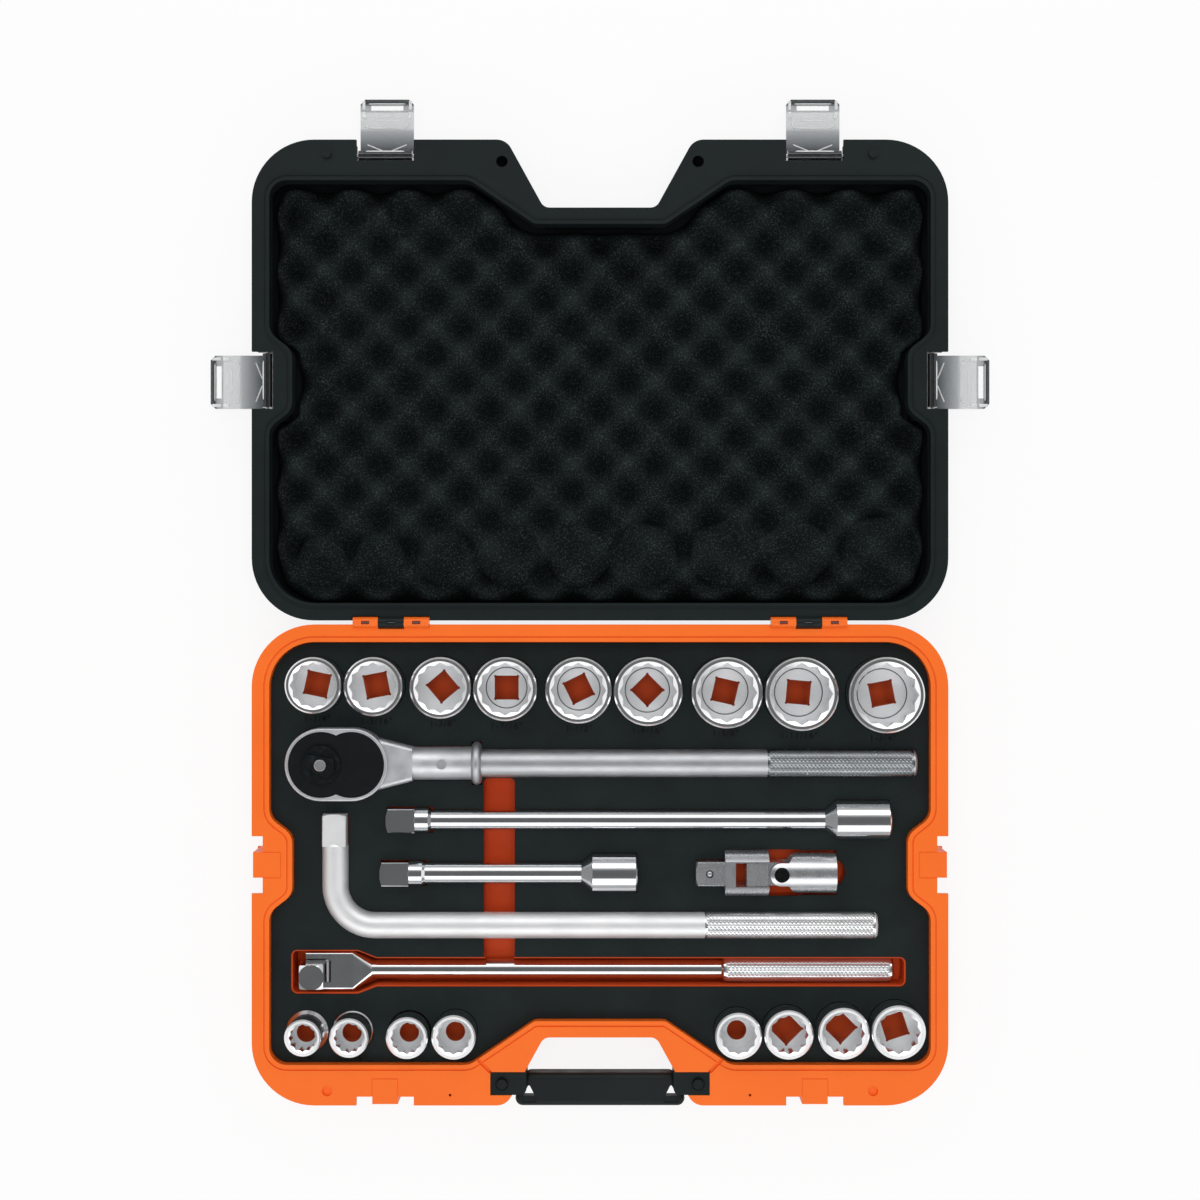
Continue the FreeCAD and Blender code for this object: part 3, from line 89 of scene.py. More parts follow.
def new_material(name):
    """Empty material with its node tree and the object's coordinates in metres."""
    material = bpy.data.materials.new(name)
    material.use_nodes = True
    tree = material.node_tree
    tree.nodes.clear()
    place = add(tree, "TexCoord").outputs["Object"]
    return material, tree, place


def patches(tree, place, size_mm, low=0.0, high=1.0, detail=3.0, edges=(0.3, 0.7)):
    """Soft patches of about a size in millimetres: a value that wanders from low to high."""
    cloud = add(tree, "TexNoise", {"Vector": place, "Scale": grain_scale(size_mm), "Detail": detail})
    stretched = add(tree, "MapRange", {
        "Value": cloud.outputs["Fac"], "From Min": edges[0], "From Max": edges[1],
        "To Min": low, "To Max": high})
    return stretched.outputs["Result"]


def drift(tree, place, first, second, size_mm, **pattern):
    """Colour that drifts between two hex values in patches of about a size in millimetres."""
    share = patches(tree, place, size_mm, **pattern)
    mixed = add(tree, "Mix", {0: share, 6: colour(first), 7: colour(second)}, data_type="RGBA")
    return mixed.outputs[2]


def grit(tree, place, size_mm, depth_mm, detail=2.0):
    """Shallow relief whose features are about a size in millimetres."""
    height = add(tree, "TexNoise", {"Vector": place, "Scale": grain_scale(size_mm), "Detail": detail})
    relief = add(tree, "Bump", {
        "Height": height.outputs["Fac"], "Distance": depth_mm * MM, "Strength": 1.0})
    return relief.outputs["Normal"]


def lay_stops(ramp, stops):
    """Puts a linear colour at each of a ramp's places from 0 to 1."""
    while len(ramp.elements) < len(stops):
        ramp.elements.new(0.5)
    for element, (position, level) in zip(ramp.elements, stops):
        element.position = position
        element.color = level


def close(material, tree, inputs):
    """Ends a material in one Principled shader with the given inputs."""
    shader = add(tree, "BsdfPrincipled", inputs)
    add(tree, "OutputMaterial", {"Surface": shader.outputs["BSDF"]})
    return material


# Plastics and foam

polypropylene_ior = 1.49
polycarbonate_ior = 1.58


def moulded_plastic(name, main, shade, roughness, shine, handling=0.06, grain_mm=0.9):
    """Injection-moulded polypropylene: even colour, faint cloudiness from the flow and a fine
    spark-eroded grain."""
    material, tree, place = new_material(name)
    return close(material, tree, {
        "Base Color": drift(tree, place, main, shade, size_mm=60.0),
        "Roughness": patches(tree, place, size_mm=14.0, low=roughness - handling, high=roughness + handling),
        "IOR": polypropylene_ior,
        "Specular IOR Level": shine,
        "Normal": grit(tree, place, size_mm=grain_mm, depth_mm=0.05)})


def die_cut_sheet():
    """Closed-cell sheet cut by a die: dull charcoal, a little cloudy from handling, with a soft
    pore grain."""
    material, tree, place = new_material("closed_cell_sheet_die_cut")
    return close(material, tree, {
        "Base Color": drift(tree, place, "161C1C", "1B2222", size_mm=35.0),
        "Roughness": patches(tree, place, size_mm=5.0, low=0.55, high=0.7),
        "Specular IOR Level": 0.15,
        "Normal": grit(tree, place, size_mm=1.2, depth_mm=0.06, detail=3.0)})


def open_cell_foam(valley, crest):
    """Open-cell polyurethane foam, convolute cut: deep black and without gloss, with painted shade in the
    valleys giving way to painted light on the crests, between two heights, in uneven patches; fine pale
    dots of painted glint, stronger towards the crests, drawn about twice their size so that they show."""
    material, tree, place = new_material("polyurethane_foam_convolute_cut")
    height = add(tree, "SeparateXYZ", {0: place}).outputs["Z"]
    climb = {"Value": height, "From Min": valley, "From Max": crest}
    # painted shade in the valleys rising to painted light on the crests, by height
    crest_light = add(tree, "MapRange", climb).outputs["Result"]
    lit = add(tree, "MapRange", {**climb, "To Min": 0.3, "To Max": 0.9}).outputs["Result"]
    # uneven patches in the painted light on the crests
    worn = patches(tree, place, size_mm=26.0, low=0.3)
    # fine pale dots of painted glint, stronger towards the crests
    glint_spots = patches(tree, place, size_mm=1.3, detail=1.0, edges=(0.52, 0.7))
    painted_light_share = add(tree, "Math", {0: crest_light, 1: worn}, operation="MULTIPLY").outputs[0]
    painted_glints = add(tree, "Math", {0: glint_spots, 1: lit}, operation="MULTIPLY").outputs[0]
    # the foam's black, darkened by painted shade in the valleys and lightened by painted light on the crests
    shade_to_crest_light = {0: painted_light_share, 6: colour("090D0D"), 7: colour("212727")}
    body = add(tree, "Mix", shade_to_crest_light, data_type="RGBA").outputs[2]
    speckled = add(tree, "Mix", {0: painted_glints, 6: body, 7: colour("384040")}, data_type="RGBA").outputs[2]
    return close(material, tree, {
        "Base Color": speckled,
        "Roughness": 0.95,
        "Specular IOR Level": 0.05,
        "Normal": grit(tree, place, size_mm=1.6, depth_mm=0.4, detail=4.0)})


latch_length = 52.0          # millimetres, from the tip to the back of the barrel
latch_tone_and_shade = (              # millimetres from the tip, and the colour there, with painted shade in the dark lip band and towards the pin
    (0.0, "565B5D"), (3.6, "3C4143"), (4.2, "A6A9AB"), (9.6, "BABCBE"), (10.4, "DFE0E1"),
    (23.0, "D6D8D9"), (25.5, "B0B3B5"), (33.0, "8A8E91"), (40.0, "5E6265"), (46.0, "34383A"))


def smoke_polycarbonate(front_tip, side_tip):
    """Clear polycarbonate with a smoke colour, moulded: glossy, with faint flow ripples. Its colour changes
    from the tip, at a Y of the front latches or an X of the side ones, back to the pivot: dark through the
    lip as painted shade of light held inside the lip, pale in the thinned panel, deeper where the plate
    curves up to the pin, partly the thicker plastic's own smoke and partly painted shade of the curve."""
    material, tree, place = new_material("polycarbonate_smoke_moulded")
    axes = add(tree, "SeparateXYZ", {0: place}).outputs
    outwards = add(tree, "Math", {0: axes["X"]}, operation="ABSOLUTE").outputs[0]
    from_tips = []
    for value, tip in ((axes["Y"], front_tip), (outwards, side_tip)):
        back = {"Value": value, "From Min": tip - latch_length * MM, "From Max": tip}
        from_tips.append(add(tree, "MapRange", {**back, "To Min": 1.0, "To Max": 0.0}).outputs["Result"])
    along = add(tree, "Math", {0: from_tips[0], 1: from_tips[1]}, operation="MINIMUM").outputs[0]
    # smoke colour along the latch, with painted shade through the lip and towards the pin
    tone_and_shade = add(tree, "ValToRGB", {"Fac": along})
    lay_stops(tone_and_shade.color_ramp, [(mm / latch_length, colour(text)) for mm, text in latch_tone_and_shade])
    return close(material, tree, {
        "Base Color": tone_and_shade.outputs["Color"],
        "Transmission Weight": 0.85,
        "IOR": polycarbonate_ior,
        "Roughness": patches(tree, place, size_mm=3.0, low=0.05, high=0.16),
        "Normal": grit(tree, place, size_mm=7.0, depth_mm=0.16, detail=1.0)})


def rib_highlight_finish():
    """The same polycarbonate made pale, hardly clear and glossy: painted highlight along each rib's crest.
    """
    material, tree, place = new_material("polycarbonate_rib_painted_highlight")
    return close(material, tree, {
        "Base Color": drift(tree, place, "F6F7F7", "E2E4E5", size_mm=4.0),
        "Transmission Weight": 0.2,
        "IOR": polycarbonate_ior,
        "Roughness": 0.08})


# Metals

def plated(name, main, shade, roughness, handling=0.05, metallic=1.0, grain_mm=1.2, grain_depth=0.0):
    """Chromium plate on steel: a cool metal whose polish varies a little with handling; satin and pearl
    grades show grit and scatter a share of the light like a pale coat."""
    material, tree, place = new_material(name)
    inputs = {
        "Base Color": drift(tree, place, main, shade, size_mm=25.0),
        "Metallic": metallic,
        "Roughness": patches(tree, place, size_mm=9.0, low=roughness - handling, high=roughness + handling)}
    if grain_depth:
        inputs["Normal"] = grit(tree, place, size_mm=grain_mm, depth_mm=grain_depth)
    return close(material, tree, inputs)


level_from, level_full = 0.9, 0.97   # upward share of a face's direction that counts as level
nose_from, nose_full = 0.12, 0.04    # millimetres below the nose where its own grind sets in
ring_stretch = 0.9                   # of a reflection, by the tool's rings
across_rings = 0.25                  # of a turn, from along the rings to across them


def turned_plate(name, nose, nose_roughness, nose_metal):
    """Chromium plate on a socket. Its walls are polished; on level faces the tool's rings about the
    socket's upright axis draw a reflection out along the radius; the nose, at a height of its own, has
    its own grind."""
    material, tree, place = new_material(name)
    along_rings = add(tree, "Tangent", direction_type="RADIAL", axis="Z").outputs["Tangent"]
    facing = add(tree, "TexCoord").outputs["Normal"]
    upward = add(tree, "SeparateXYZ", {0: facing}).outputs["Z"]
    height = add(tree, "SeparateXYZ", {0: place}).outputs["Z"]
    flatness = {"Value": upward, "From Min": level_from, "From Max": level_full}
    level = add(tree, "MapRange", flatness).outputs["Result"]
    nearness = {"Value": height, "From Min": nose - nose_from * MM, "From Max": nose - nose_full * MM}
    ground = add(tree, "MapRange", nearness).outputs["Result"]

    def by_face(on_walls, on_level, on_nose):
        """A value that differs between the walls, the level faces and the nose."""
        below = add(tree, "Mix", {0: level, 2: on_walls, 3: on_level}).outputs[0]
        return add(tree, "Mix", {0: ground, 2: below, 3: on_nose}).outputs[0]

    return close(material, tree, {
        "Base Color": drift(tree, place, "FAFAFB", "F0F1F3", size_mm=18.0),
        "Metallic": by_face(on_walls=1.0, on_level=0.62, on_nose=nose_metal),
        "Roughness": by_face(on_walls=0.17, on_level=0.56, on_nose=nose_roughness),
        "Anisotropic": by_face(on_walls=0.0, on_level=ring_stretch, on_nose=0.0),
        "Anisotropic Rotation": across_rings,
        "Tangent": along_rings})


def black_finish(name, main, worn, roughness, handling=0.08):
    """Black oxide, baked black paint or black plastic: dense black, scuffed a little paler where
    fingers reach."""
    material, tree, place = new_material(name)
    return close(material, tree, {
        "Base Color": drift(tree, place, main, worn, size_mm=6.0, detail=5.0, edges=(0.5, 0.8)),
        "IOR": 1.5,
        "Specular IOR Level": 0.2,
        "Roughness": patches(tree, place, size_mm=4.0, low=roughness - handling, high=roughness + handling),
        "Normal": grit(tree, place, size_mm=0.7, depth_mm=0.03)})


# Finishes of this set

foam_shade_depth = 15.0           # millimetres below the crests where the painted shade is darkest
foam_crest_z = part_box("lid_foam")[1][2]
front_latch_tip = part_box("latch_front_left")[1][1]
side_latch_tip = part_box("latch_side_right")[1][0]
socket_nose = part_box("socket_1")[1][2]

orange = moulded_plastic("polypropylene_orange_moulded", "F8701F", "F46C1D", roughness=0.42, shine=0.35)
# the case's orange made darker for the tray: painted shade of its pockets and channels
shaded_tray_orange = moulded_plastic("polypropylene_orange_painted_shade", "D14D1F", "CB491D", roughness=0.45, shine=0.25)
lid_black = moulded_plastic("polypropylene_black_moulded", "161C1D", "192021", roughness=0.45, shine=0.2)
handle_black = moulded_plastic("polypropylene_handle_moulded", "131818", "191F1F", roughness=0.5,
                               shine=0.2, grain_mm=1.4)
mat_black = die_cut_sheet()
foam_black = open_cell_foam(foam_crest_z - foam_shade_depth * MM, foam_crest_z)
smoke = smoke_polycarbonate(front_latch_tip, side_latch_tip)
# pale finish of the latch ribs: painted highlight
painted_rib_highlight = rib_highlight_finish()
mirror_chrome = plated("chrome_plate_polished", "E8EAEC", "DEE0E3", roughness=0.11, handling=0.03)
socket_chrome = turned_plate("chrome_plate_ground_nose", socket_nose, nose_roughness=0.14, nose_metal=1.0)
small_socket_chrome = turned_plate("chrome_plate_satin_nose", socket_nose, nose_roughness=0.5,
                                   nose_metal=0.45)
# dark plate for the rings in the sockets' floors: painted shade
ring_shade_steel = plated("chrome_plate_painted_groove_shade", "6E7174", "5C5F62", roughness=0.4)
satin_chrome = plated("chrome_plate_satin", "CDCED1", "C0C2C5", roughness=0.48, handling=0.04,
                      grain_mm=0.7, grain_depth=0.01)
brushed_chrome = plated("chrome_plate_brushed", "D6D8DB", "CCCED1", roughness=0.27, handling=0.03,
                        metallic=0.9)
knurled_chrome = plated("chrome_plate_knurled", "EDEEEF", "E0E1E3", roughness=0.22, handling=0.04,
                        metallic=0.94)
grey_knurl = plated("chrome_plate_knurled_grey", "A0A4A7", "8E9295", roughness=0.24, handling=0.04)
matt_chrome = plated("chrome_plate_pearl", "F7F7F8", "EEEFF0", roughness=0.52, handling=0.04,
                     metallic=0.78, grain_mm=0.8, grain_depth=0.03)
forged_satin = plated("chrome_plate_blasted_forging", "DADBDE", "BEC0C3", roughness=0.46, handling=0.06,
                      metallic=0.8, grain_mm=0.9, grain_depth=0.09)
pin_steel = plated("ground_pin_steel", "C4C6C8", "B4B6B8", roughness=0.22)
cover_black = black_finish("baked_black_paint", "090D0E", "0F1415", roughness=0.5)
dial_black = black_finish("black_polyamide_moulded", "101415", "20272A", roughness=0.3)
oxide_black = black_finish("black_oxide_steel", "090A0B", "131415", roughness=0.32)
mark_black = black_finish("pressed_mark_black", "020303", "050606", roughness=0.5)


# Surfaces

def smooth_step(value):
    """0 below 0, 1 above 1, and 3t^2 - 2t^3 between."""
    t = np.clip(value, 0.0, 1.0)
    return t * t * (3 - 2 * t)


def full_turn(count):
    """Angles of a number of equal steps round a circle."""
    return np.arange(count) * 2 * np.pi / count


def grid_faces(rows, columns, wrap_rows=False, wrap_columns=False):
    """Quads between neighbouring points of a grid, closed on itself in either direction if asked."""
    i = np.arange(rows if wrap_rows else rows - 1)
    j = np.arange(columns if wrap_columns else columns - 1)
    i, j = np.meshgrid(i, j, indexing="ij")
    up = (i + 1) % rows * columns
    here = i * columns
    beside = (j + 1) % columns
    return np.stack([here + j, here + beside, up + beside, up + j], -1).reshape(-1, 4)


def finished(made, body):
    """Puts a new object in the scene, riding a body."""
    bpy.context.scene.collection.objects.link(made)
    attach(made, body)
    return made


def piece(name, points, faces, material, body, smooth=True):
    """Mesh object from an array of points in millimetres and a list of faces, riding a body."""
    mesh = bpy.data.meshes.new(name)
    mesh.from_pydata((np.asarray(points).reshape(-1, 3) * MM).tolist(), [], faces)
    mesh.polygons.foreach_set("use_smooth", np.full(len(mesh.polygons), smooth))
    mesh.materials.append(material)
    return finished(bpy.data.objects.new(name, mesh), body)


def box_mm(node):
    """Lowest and highest corner of a node at rest, in millimetres."""
    low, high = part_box(node)
    return np.array(low) / MM, np.array(high) / MM


# Foam of the lid, in millimetres

foam_pitch = 45.0            # crest to crest
foam_valley = 17.0           # depth of the valleys below the crests
foam_notch = (52.5, 104.5)   # half width of the hand notch at its floor and at its mouth
foam_notch_deep = 35.0
foam_bump = (24.0, 38.0)     # half length of the side bumps at their crown and at their foot
foam_bump_deep = 18.4
foam_corner_hinge = 36.0
foam_corner_front = 14.0
foam_edge = 9.0              # rounding of the cut edge
foam_step = 1.9              # grid spacing
pressed_share = 0.6          # of the waves, flattened where a large socket rests
pressed_edge = 4.0           # width over which the flattening fades
groove_deep = 2.4            # ring that a large socket's rim presses in
groove_wide = 1.6
lower_firmness = 0.6         # of the lower row's sockets to the large ones


def corner_loss(distance, radius):
    """How much a round corner draws the side in, at a distance from the end it turns into."""
    left = np.clip(radius - distance, 0.0, radius)
    return radius - np.sqrt(radius ** 2 - left ** 2)


def pad_plan(low, high):
    """Plan of the pad: u from -1 to 1 across and v from 0 to 1 along. Each row is as wide as the outline
    there, less the side bumps and round corners, and each column ends at the hand notch's line. Also
    gives how far each point lies inside the outline."""
    half = high[0]
    long_y = high[1] - low[1]
    u = np.linspace(-1, 1, int(2 * half / foam_step))
    v = np.linspace(0, 1, int(long_y / foam_step))
    u, v = np.meshgrid(u, v)
    bump_crown, bump_foot = foam_bump
    from_bump = np.abs(low[1] + v * long_y - 2 * hinge_y)
    width = half - foam_bump_deep * smooth_step((bump_foot - from_bump) / (bump_foot - bump_crown))
    width -= corner_loss(v * long_y, foam_corner_hinge)
    width -= corner_loss((1 - v) * long_y, foam_corner_front)
    x = u * width
    notch_floor, notch_mouth = foam_notch
    end = high[1] - foam_notch_deep * smooth_step((notch_mouth - np.abs(x)) / (notch_mouth - notch_floor))
    y = low[1] + v * (end - low[1])
    inside = np.minimum((1 - np.abs(u)) * width, np.minimum(v, 1 - v) * (end - low[1]))
    return x, y, inside


def lid_foam():
    """Egg-crate pad on its plan. Height: crest + valley * (cos(2 pi x / p) * cos(2 pi y / p) - 1) / 2,
    pressed flatter in discs where the sockets of the closed case touch it, with a narrow ring groove
    round each disc, and rolled off along the cut edge as a quarter circle."""
    low, high = box_mm("lid_foam")
    x, y, inside = pad_plan(low, high)
    phase_y = y - (low[1] + high[1]) / 2 - foam_pitch / 4
    wave = np.cos(2 * np.pi * x / foam_pitch) * np.cos(2 * np.pi * phase_y / foam_pitch)
    rise = 0.5 + 0.5 * wave
    groove = np.zeros_like(x)
    for name in socket_nodes:
        socket_low, socket_high = box_mm(name)
        centre = (socket_low + socket_high) / 2
        radius = (socket_high[0] - socket_low[0]) / 2
        firmness = 1.0 if name in upper_sockets else lower_firmness
        off = np.hypot(x - centre[0], y - (2 * hinge_y - centre[1])) - radius
        press = firmness * pressed_share * smooth_step(-off / pressed_edge)
        rise = rise * (1 - press) + 0.5 * press
        groove += groove_deep * firmness * np.exp(-(off / groove_wide) ** 2)
    roll = 1 - np.clip(inside / foam_edge, 0, 1)
    z = high[2] - foam_valley * (1 - rise) - groove - foam_edge * (1 - np.sqrt(1 - roll ** 2))
    top = np.stack([x, y, z], -1)
    rows, columns = x.shape
    index = np.arange(rows * columns).reshape(rows, columns)
    border = np.concatenate([index[0, :-1], index[:-1, -1], index[-1, :0:-1], index[:0:-1, 0]])
    foot = top.reshape(-1, 3)[border].copy()
    foot[:, 2] = low[2]
    below = rows * columns + np.arange(len(border))
    walls = np.stack([border, below, np.roll(below, -1), np.roll(border, -1)], -1)
    points = np.concatenate([top.reshape(-1, 3), foot])
    faces = grid_faces(rows, columns).tolist() + walls.tolist() + [below[::-1].tolist()]
    made = piece("egg_crate_foam", points, faces, foam_black, "lid")
    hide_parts("lid_foam")


# Knurled grips, in millimetres

knurl_pitch = 3.2            # drawn coarse, so that the diamonds show
knurl_deep = 0.36
knurl_foot = 0.03            # foot of the diamonds above the bar's surface
knurl_sink = 0.8             # inner wall below the bar's surface
knurl_samples = 4            # points to a pitch
grip_end = 2.0               # plain stretch at the end of a bar
grips = (                    # piece, node, body, slot, finish, start of the knurl along X, radius
    ("ratchet_grip_knurl", "ratchet_handle", "ratchet", "satin_chrome", grey_knurl, 134.0, 11.25),
    ("l_handle_grip_knurl", "l_handle", "l_handle", "matt_chrome", knurled_chrome, 84.0, 10.5),
    ("flex_grip_knurl", "flex_bar", "flex_handle", "bright_chrome", knurled_chrome, 101.0, 10.2))


def knurled_sleeve(x_from, x_to, y, z, radius):
    """Diamond knurl: radius + depth * min(t(a), t(b)), where a and b count the pitches along two opposite
    helices and t is a triangle wave; it fades at both ends and closes on an inner wall."""
    around = round(2 * np.pi * radius / knurl_pitch)
    along = round((x_to - x_from) / knurl_pitch)
    turn = np.arange(around * knurl_samples) / knurl_samples
    length = np.arange(along * knurl_samples + 1) / knurl_samples
    turn, length = np.meshgrid(turn, length)
    first = 2 * np.abs((length + turn) % 1 - 0.5)
    second = 2 * np.abs((length - turn) % 1 - 0.5)
    fade = smooth_step(np.minimum(length, along - length))
    reach = radius + knurl_foot + knurl_deep * fade * np.minimum(first, second)
    inner = np.full_like(reach[:1], radius - knurl_sink)
    reach = np.concatenate([inner, reach, inner])
    x = x_from + length * (x_to - x_from) / along
    x = np.concatenate([x[:1], x, x[-1:]])
    angle = np.concatenate([turn[:1], turn, turn[-1:]]) * 2 * np.pi / around
    points = np.stack([x, y + reach * np.cos(angle), z + reach * np.sin(angle)], -1)
    return points, grid_faces(*x.shape, wrap_rows=True, wrap_columns=True)


def knurled_grips():
    """A sleeve on each of the three long handles. The L handle's bar lies along the front of its box."""
    for name, node, body, slot, finish, start, radius in grips:
        low, high = box_mm(node)
        middle = (low + high) / 2
        y = low[1] + radius if node == "l_handle" else middle[1]
        points, faces = knurled_sleeve(start, high[0] - grip_end, y, middle[2], radius)
        piece(name, points, faces.tolist(), finish, body, smooth=False)


# Size marks on the deck, in millimetres

mark_height = 5.0            # of a numeral
mark_letter_space = 1.2
mark_bold = 0.12             # stroke thickened by this all round
mark_gap = 5.6               # edge of the upper sockets to the middle of their marks
mark_gap_front = 4.4
mark_thick = 0.12
font_height = 1.45           # the font's size to the height of its numerals


def mark_text(name):
    """The size that a socket's name gives, such as 1-1/4 inch or 3/4 inch."""
    parts = name.split("_")[1:]
    fraction = "/".join(parts[-2:]) if len(parts) > 1 else ""
    whole = parts[0] if len(parts) != 2 else ""
    return "-".join(filter(None, [whole, fraction])) + '"'


def size_marks():
    """Each socket's size in plain numerals, laid flat on the deck in front of it."""
    deck = box_mm("deck_mat")[1][2]
    for name in socket_nodes:
        low, high = box_mm(name)
        gap = mark_gap if name in upper_sockets else mark_gap_front
        curve = bpy.data.curves.new("mark", "FONT")
        curve.body = mark_text(name)
        curve.size = mark_height * font_height * MM
        curve.space_character = mark_letter_space
        curve.offset = mark_bold * MM
        curve.extrude = mark_thick * MM
        curve.align_x = "CENTER"
        curve.align_y = "CENTER"
        text = bpy.data.objects.new("mark", curve)
        mesh = bpy.data.meshes.new_from_object(text)
        bpy.data.objects.remove(text)
        points = np.zeros(len(mesh.vertices) * 3)
        mesh.vertices.foreach_get("co", points)
        middle = np.array([(low[0] + high[0]) / 2, low[1] - gap, deck]) * MM
        mesh.vertices.foreach_set("co", (points.reshape(-1, 3) + middle).ravel())
        mesh.materials.clear()
        mesh.materials.append(mark_black)
        finished(bpy.data.objects.new(name.replace("socket", "mark"), mesh), "base")


# Ribs of the latches, pale with painted highlight, in millimetres

latch_barrel_up = 4.0        # top of the barrel above the pin
latch_face_down = 11.3       # inner face of the plate below the pin
panel_floor = -1.0           # floor of the thinned panel from that face
line_rise = 0.4
crease_rise = 0.2            # over the catch, which the closed latch clears by 0.3
barrel_shoulder = 14.1       # height of the barrel's front shoulder from that face
paired_ribs = (              # on both sides: start and end from the middle and the tip, width, rise
    ((18.8, 1.0), (18.8, 8.5), 2.6, 0.7),
    ((18.4, 10.0), (18.4, 15.5), 3.0, 1.2),
    ((17.4, 18.5), (15.2, 23.0), 0.9, 0.6),
    ((16.0, 36.5), (2.5, 42.0), 1.1, crease_rise))
cross_ribs = (               # from side to side: half length, place from the tip, width, rise, foot
    (15.0, 3.5, 0.8, crease_rise, 0.0),
    (10.0, 14.0, 0.7, line_rise, panel_floor),
    (10.0, 17.0, 0.7, line_rise, panel_floor),
    (15.2, 23.2, 1.1, 1.15, panel_floor),
    # this last rib is a painted highlight of the barrel, laid along its front shoulder
    (15.5, 45.2, 1.3, 0.5, barrel_shoulder))
latch_ways = (("front", (0, 1)), ("right", (1, 0)), ("left", (-1, 0)))
rib_steps, rib_sides = 25, 12
rib_end = 0.02               # least of 1 - t^8, which leaves a small flat end


def latch_ribs():
    """Start, end, width, rise and height of the foot of every rib of a latch."""
    for side in (-1, 1):
        for start, end, width, rise in paired_ribs:
            yield (side * start[0], start[1]), (side * end[0], end[1]), width, rise, 0.0
    for half, from_tip, width, rise, foot in cross_ribs:
        yield (-half, from_tip), (half, from_tip), width, rise, foot


def rib_tube(start, end, width, rise, foot):
    """A straight rib: an ellipse across, width by twice the rise, carried from start to end and drawn in
    at both ends by the fourth root of 1 - t^8; its lower half is sunk in the plate."""
    t = np.linspace(-1, 1, rib_steps)[:, None]
    a = full_turn(rib_sides)[None, :]
    start, end = np.array(start), np.array(end)
    run = end - start
    across = np.array([-run[1], run[0]]) / np.hypot(*run)
    drawn = np.clip(1 - t ** 8, rib_end, 1) ** 0.25
    middle = (start + end) / 2 + t[:, :, None] * run / 2
    flat = middle + (drawn * np.cos(a))[:, :, None] * across * width / 2
    up = foot + rise * drawn * np.sin(a)
    points = np.concatenate([flat, up[:, :, None]], -1).reshape(-1, 3)
    first_cap = list(range(rib_sides))[::-1]
    last_cap = list(range((rib_steps - 1) * rib_sides, rib_steps * rib_sides))
    return points, grid_faces(rib_steps, rib_sides, wrap_columns=True).tolist() + [first_cap, last_cap]


def latch_moulding():
    """The ribs and crease lines on the inner face of each latch, set out inwards from its tip, in a pale
    finish that is painted highlight.
    """
    for name in latch_nodes:
        low, high = box_mm(name)
        outwards = np.array(next(way for word, way in latch_ways if word in name))
        sideways = np.array([outwards[1], -outwards[0]])
        tip = ((low + high) / 2)[:2] + outwards * (high - low)[:2] / 2
        face_z = high[2] - latch_barrel_up - latch_face_down
        points, faces, count = [], [], 0
        for rib in latch_ribs():
            local, quads = rib_tube(*rib)
            flat = tip + local[:, :1] * sideways - local[:, 1:2] * outwards
            points.append(np.concatenate([flat, face_z + local[:, 2:]], -1))
            faces += [[index + count for index in quad] for quad in quads]
            count += len(local)
        piece(name + "_ribs", np.concatenate(points), faces, painted_rib_highlight, name)


# Dark rings of painted shade in the sockets' floors, in millimetres

inch = 25.4
recess_share = 0.42          # of a socket's length
ring_share = 0.45            # radius of the ring in a recess's floor, of the size
ring_least_size = 1.4        # inch; smaller recesses show none
ring_wide = 0.8
ring_high = 0.04
ring_steps, ring_sides = 96, 8


def size_in_inches(name):
    """The size that a socket's name gives, as a number."""
    parts = [int(part) for part in name.split("_")[1:]]
    fraction = parts[-2] / parts[-1] if len(parts) > 1 else 0.0
    return fraction + (parts[0] if len(parts) != 2 else 0)


def shade_ring(centre, radius, z):
    """Flat ring: an ellipse, ring_wide by twice ring_high, carried round a circle, its lower half sunk in
    the metal."""
    t = full_turn(ring_steps)[:, None]
    a = full_turn(ring_sides)[None, :]
    reach = radius + ring_wide / 2 * np.cos(a)
    up = np.broadcast_to(z + ring_high * np.sin(a), (ring_steps, ring_sides))
    points = np.stack([centre[0] + reach * np.cos(t), centre[1] + reach * np.sin(t), up], -1)
    return points, grid_faces(ring_steps, ring_sides, wrap_rows=True, wrap_columns=True)


def socket_rings():
    """A dark ring of painted shade on the floor of each of the larger recesses."""
    for name in socket_nodes:
        size = size_in_inches(name)
        if size < ring_least_size:
            continue
        low, high = box_mm(name)
        floor_z = high[2] - recess_share * (high[2] - low[2])
        points, faces = shade_ring((low + high) / 2, ring_share * size * inch, floor_z)
        piece(name + "_floor_ring_shade", points, faces.tolist(), ring_shade_steel, name)


lid_foam()
knurled_grips()
size_marks()
latch_moulding()
socket_rings()


# Finishes of the solids

finishes = {
    orange: ["case_base"],
    shaded_tray_orange: ["tool_tray"],
    lid_black: ["case_lid"],
    handle_black: ["carry_handle"],
    mat_black: ["deck_mat"],
    foam_black: ["lid_foam"],
    smoke: latch_nodes,
    socket_chrome: upper_sockets,
    small_socket_chrome: lower_sockets,
    mirror_chrome: ["long_extension", "short_extension", "flex_bar", "flex_head"],
    brushed_chrome: ["joint_drive_yoke", "joint_socket_yoke", "joint_block", "release_button"],
    satin_chrome: ["ratchet_handle", "handle_lock_pin"],
    matt_chrome: ["l_handle"],
    forged_satin: ["ratchet_head", "drive_gear"],
    pin_steel: ["hinge_pins", "latch_pins", "flex_pin", "ratchet_pawl"] + ball_nodes,
    cover_black: ["ratchet_cover"],
    dial_black: ["reverse_dial"],
    oxide_black: ["joint_pins"]}
for finish, names in finishes.items():
    for name in names:
        nodes[name].data.materials.clear()
        nodes[name].data.materials.append(finish)


# Floor and light, in metres

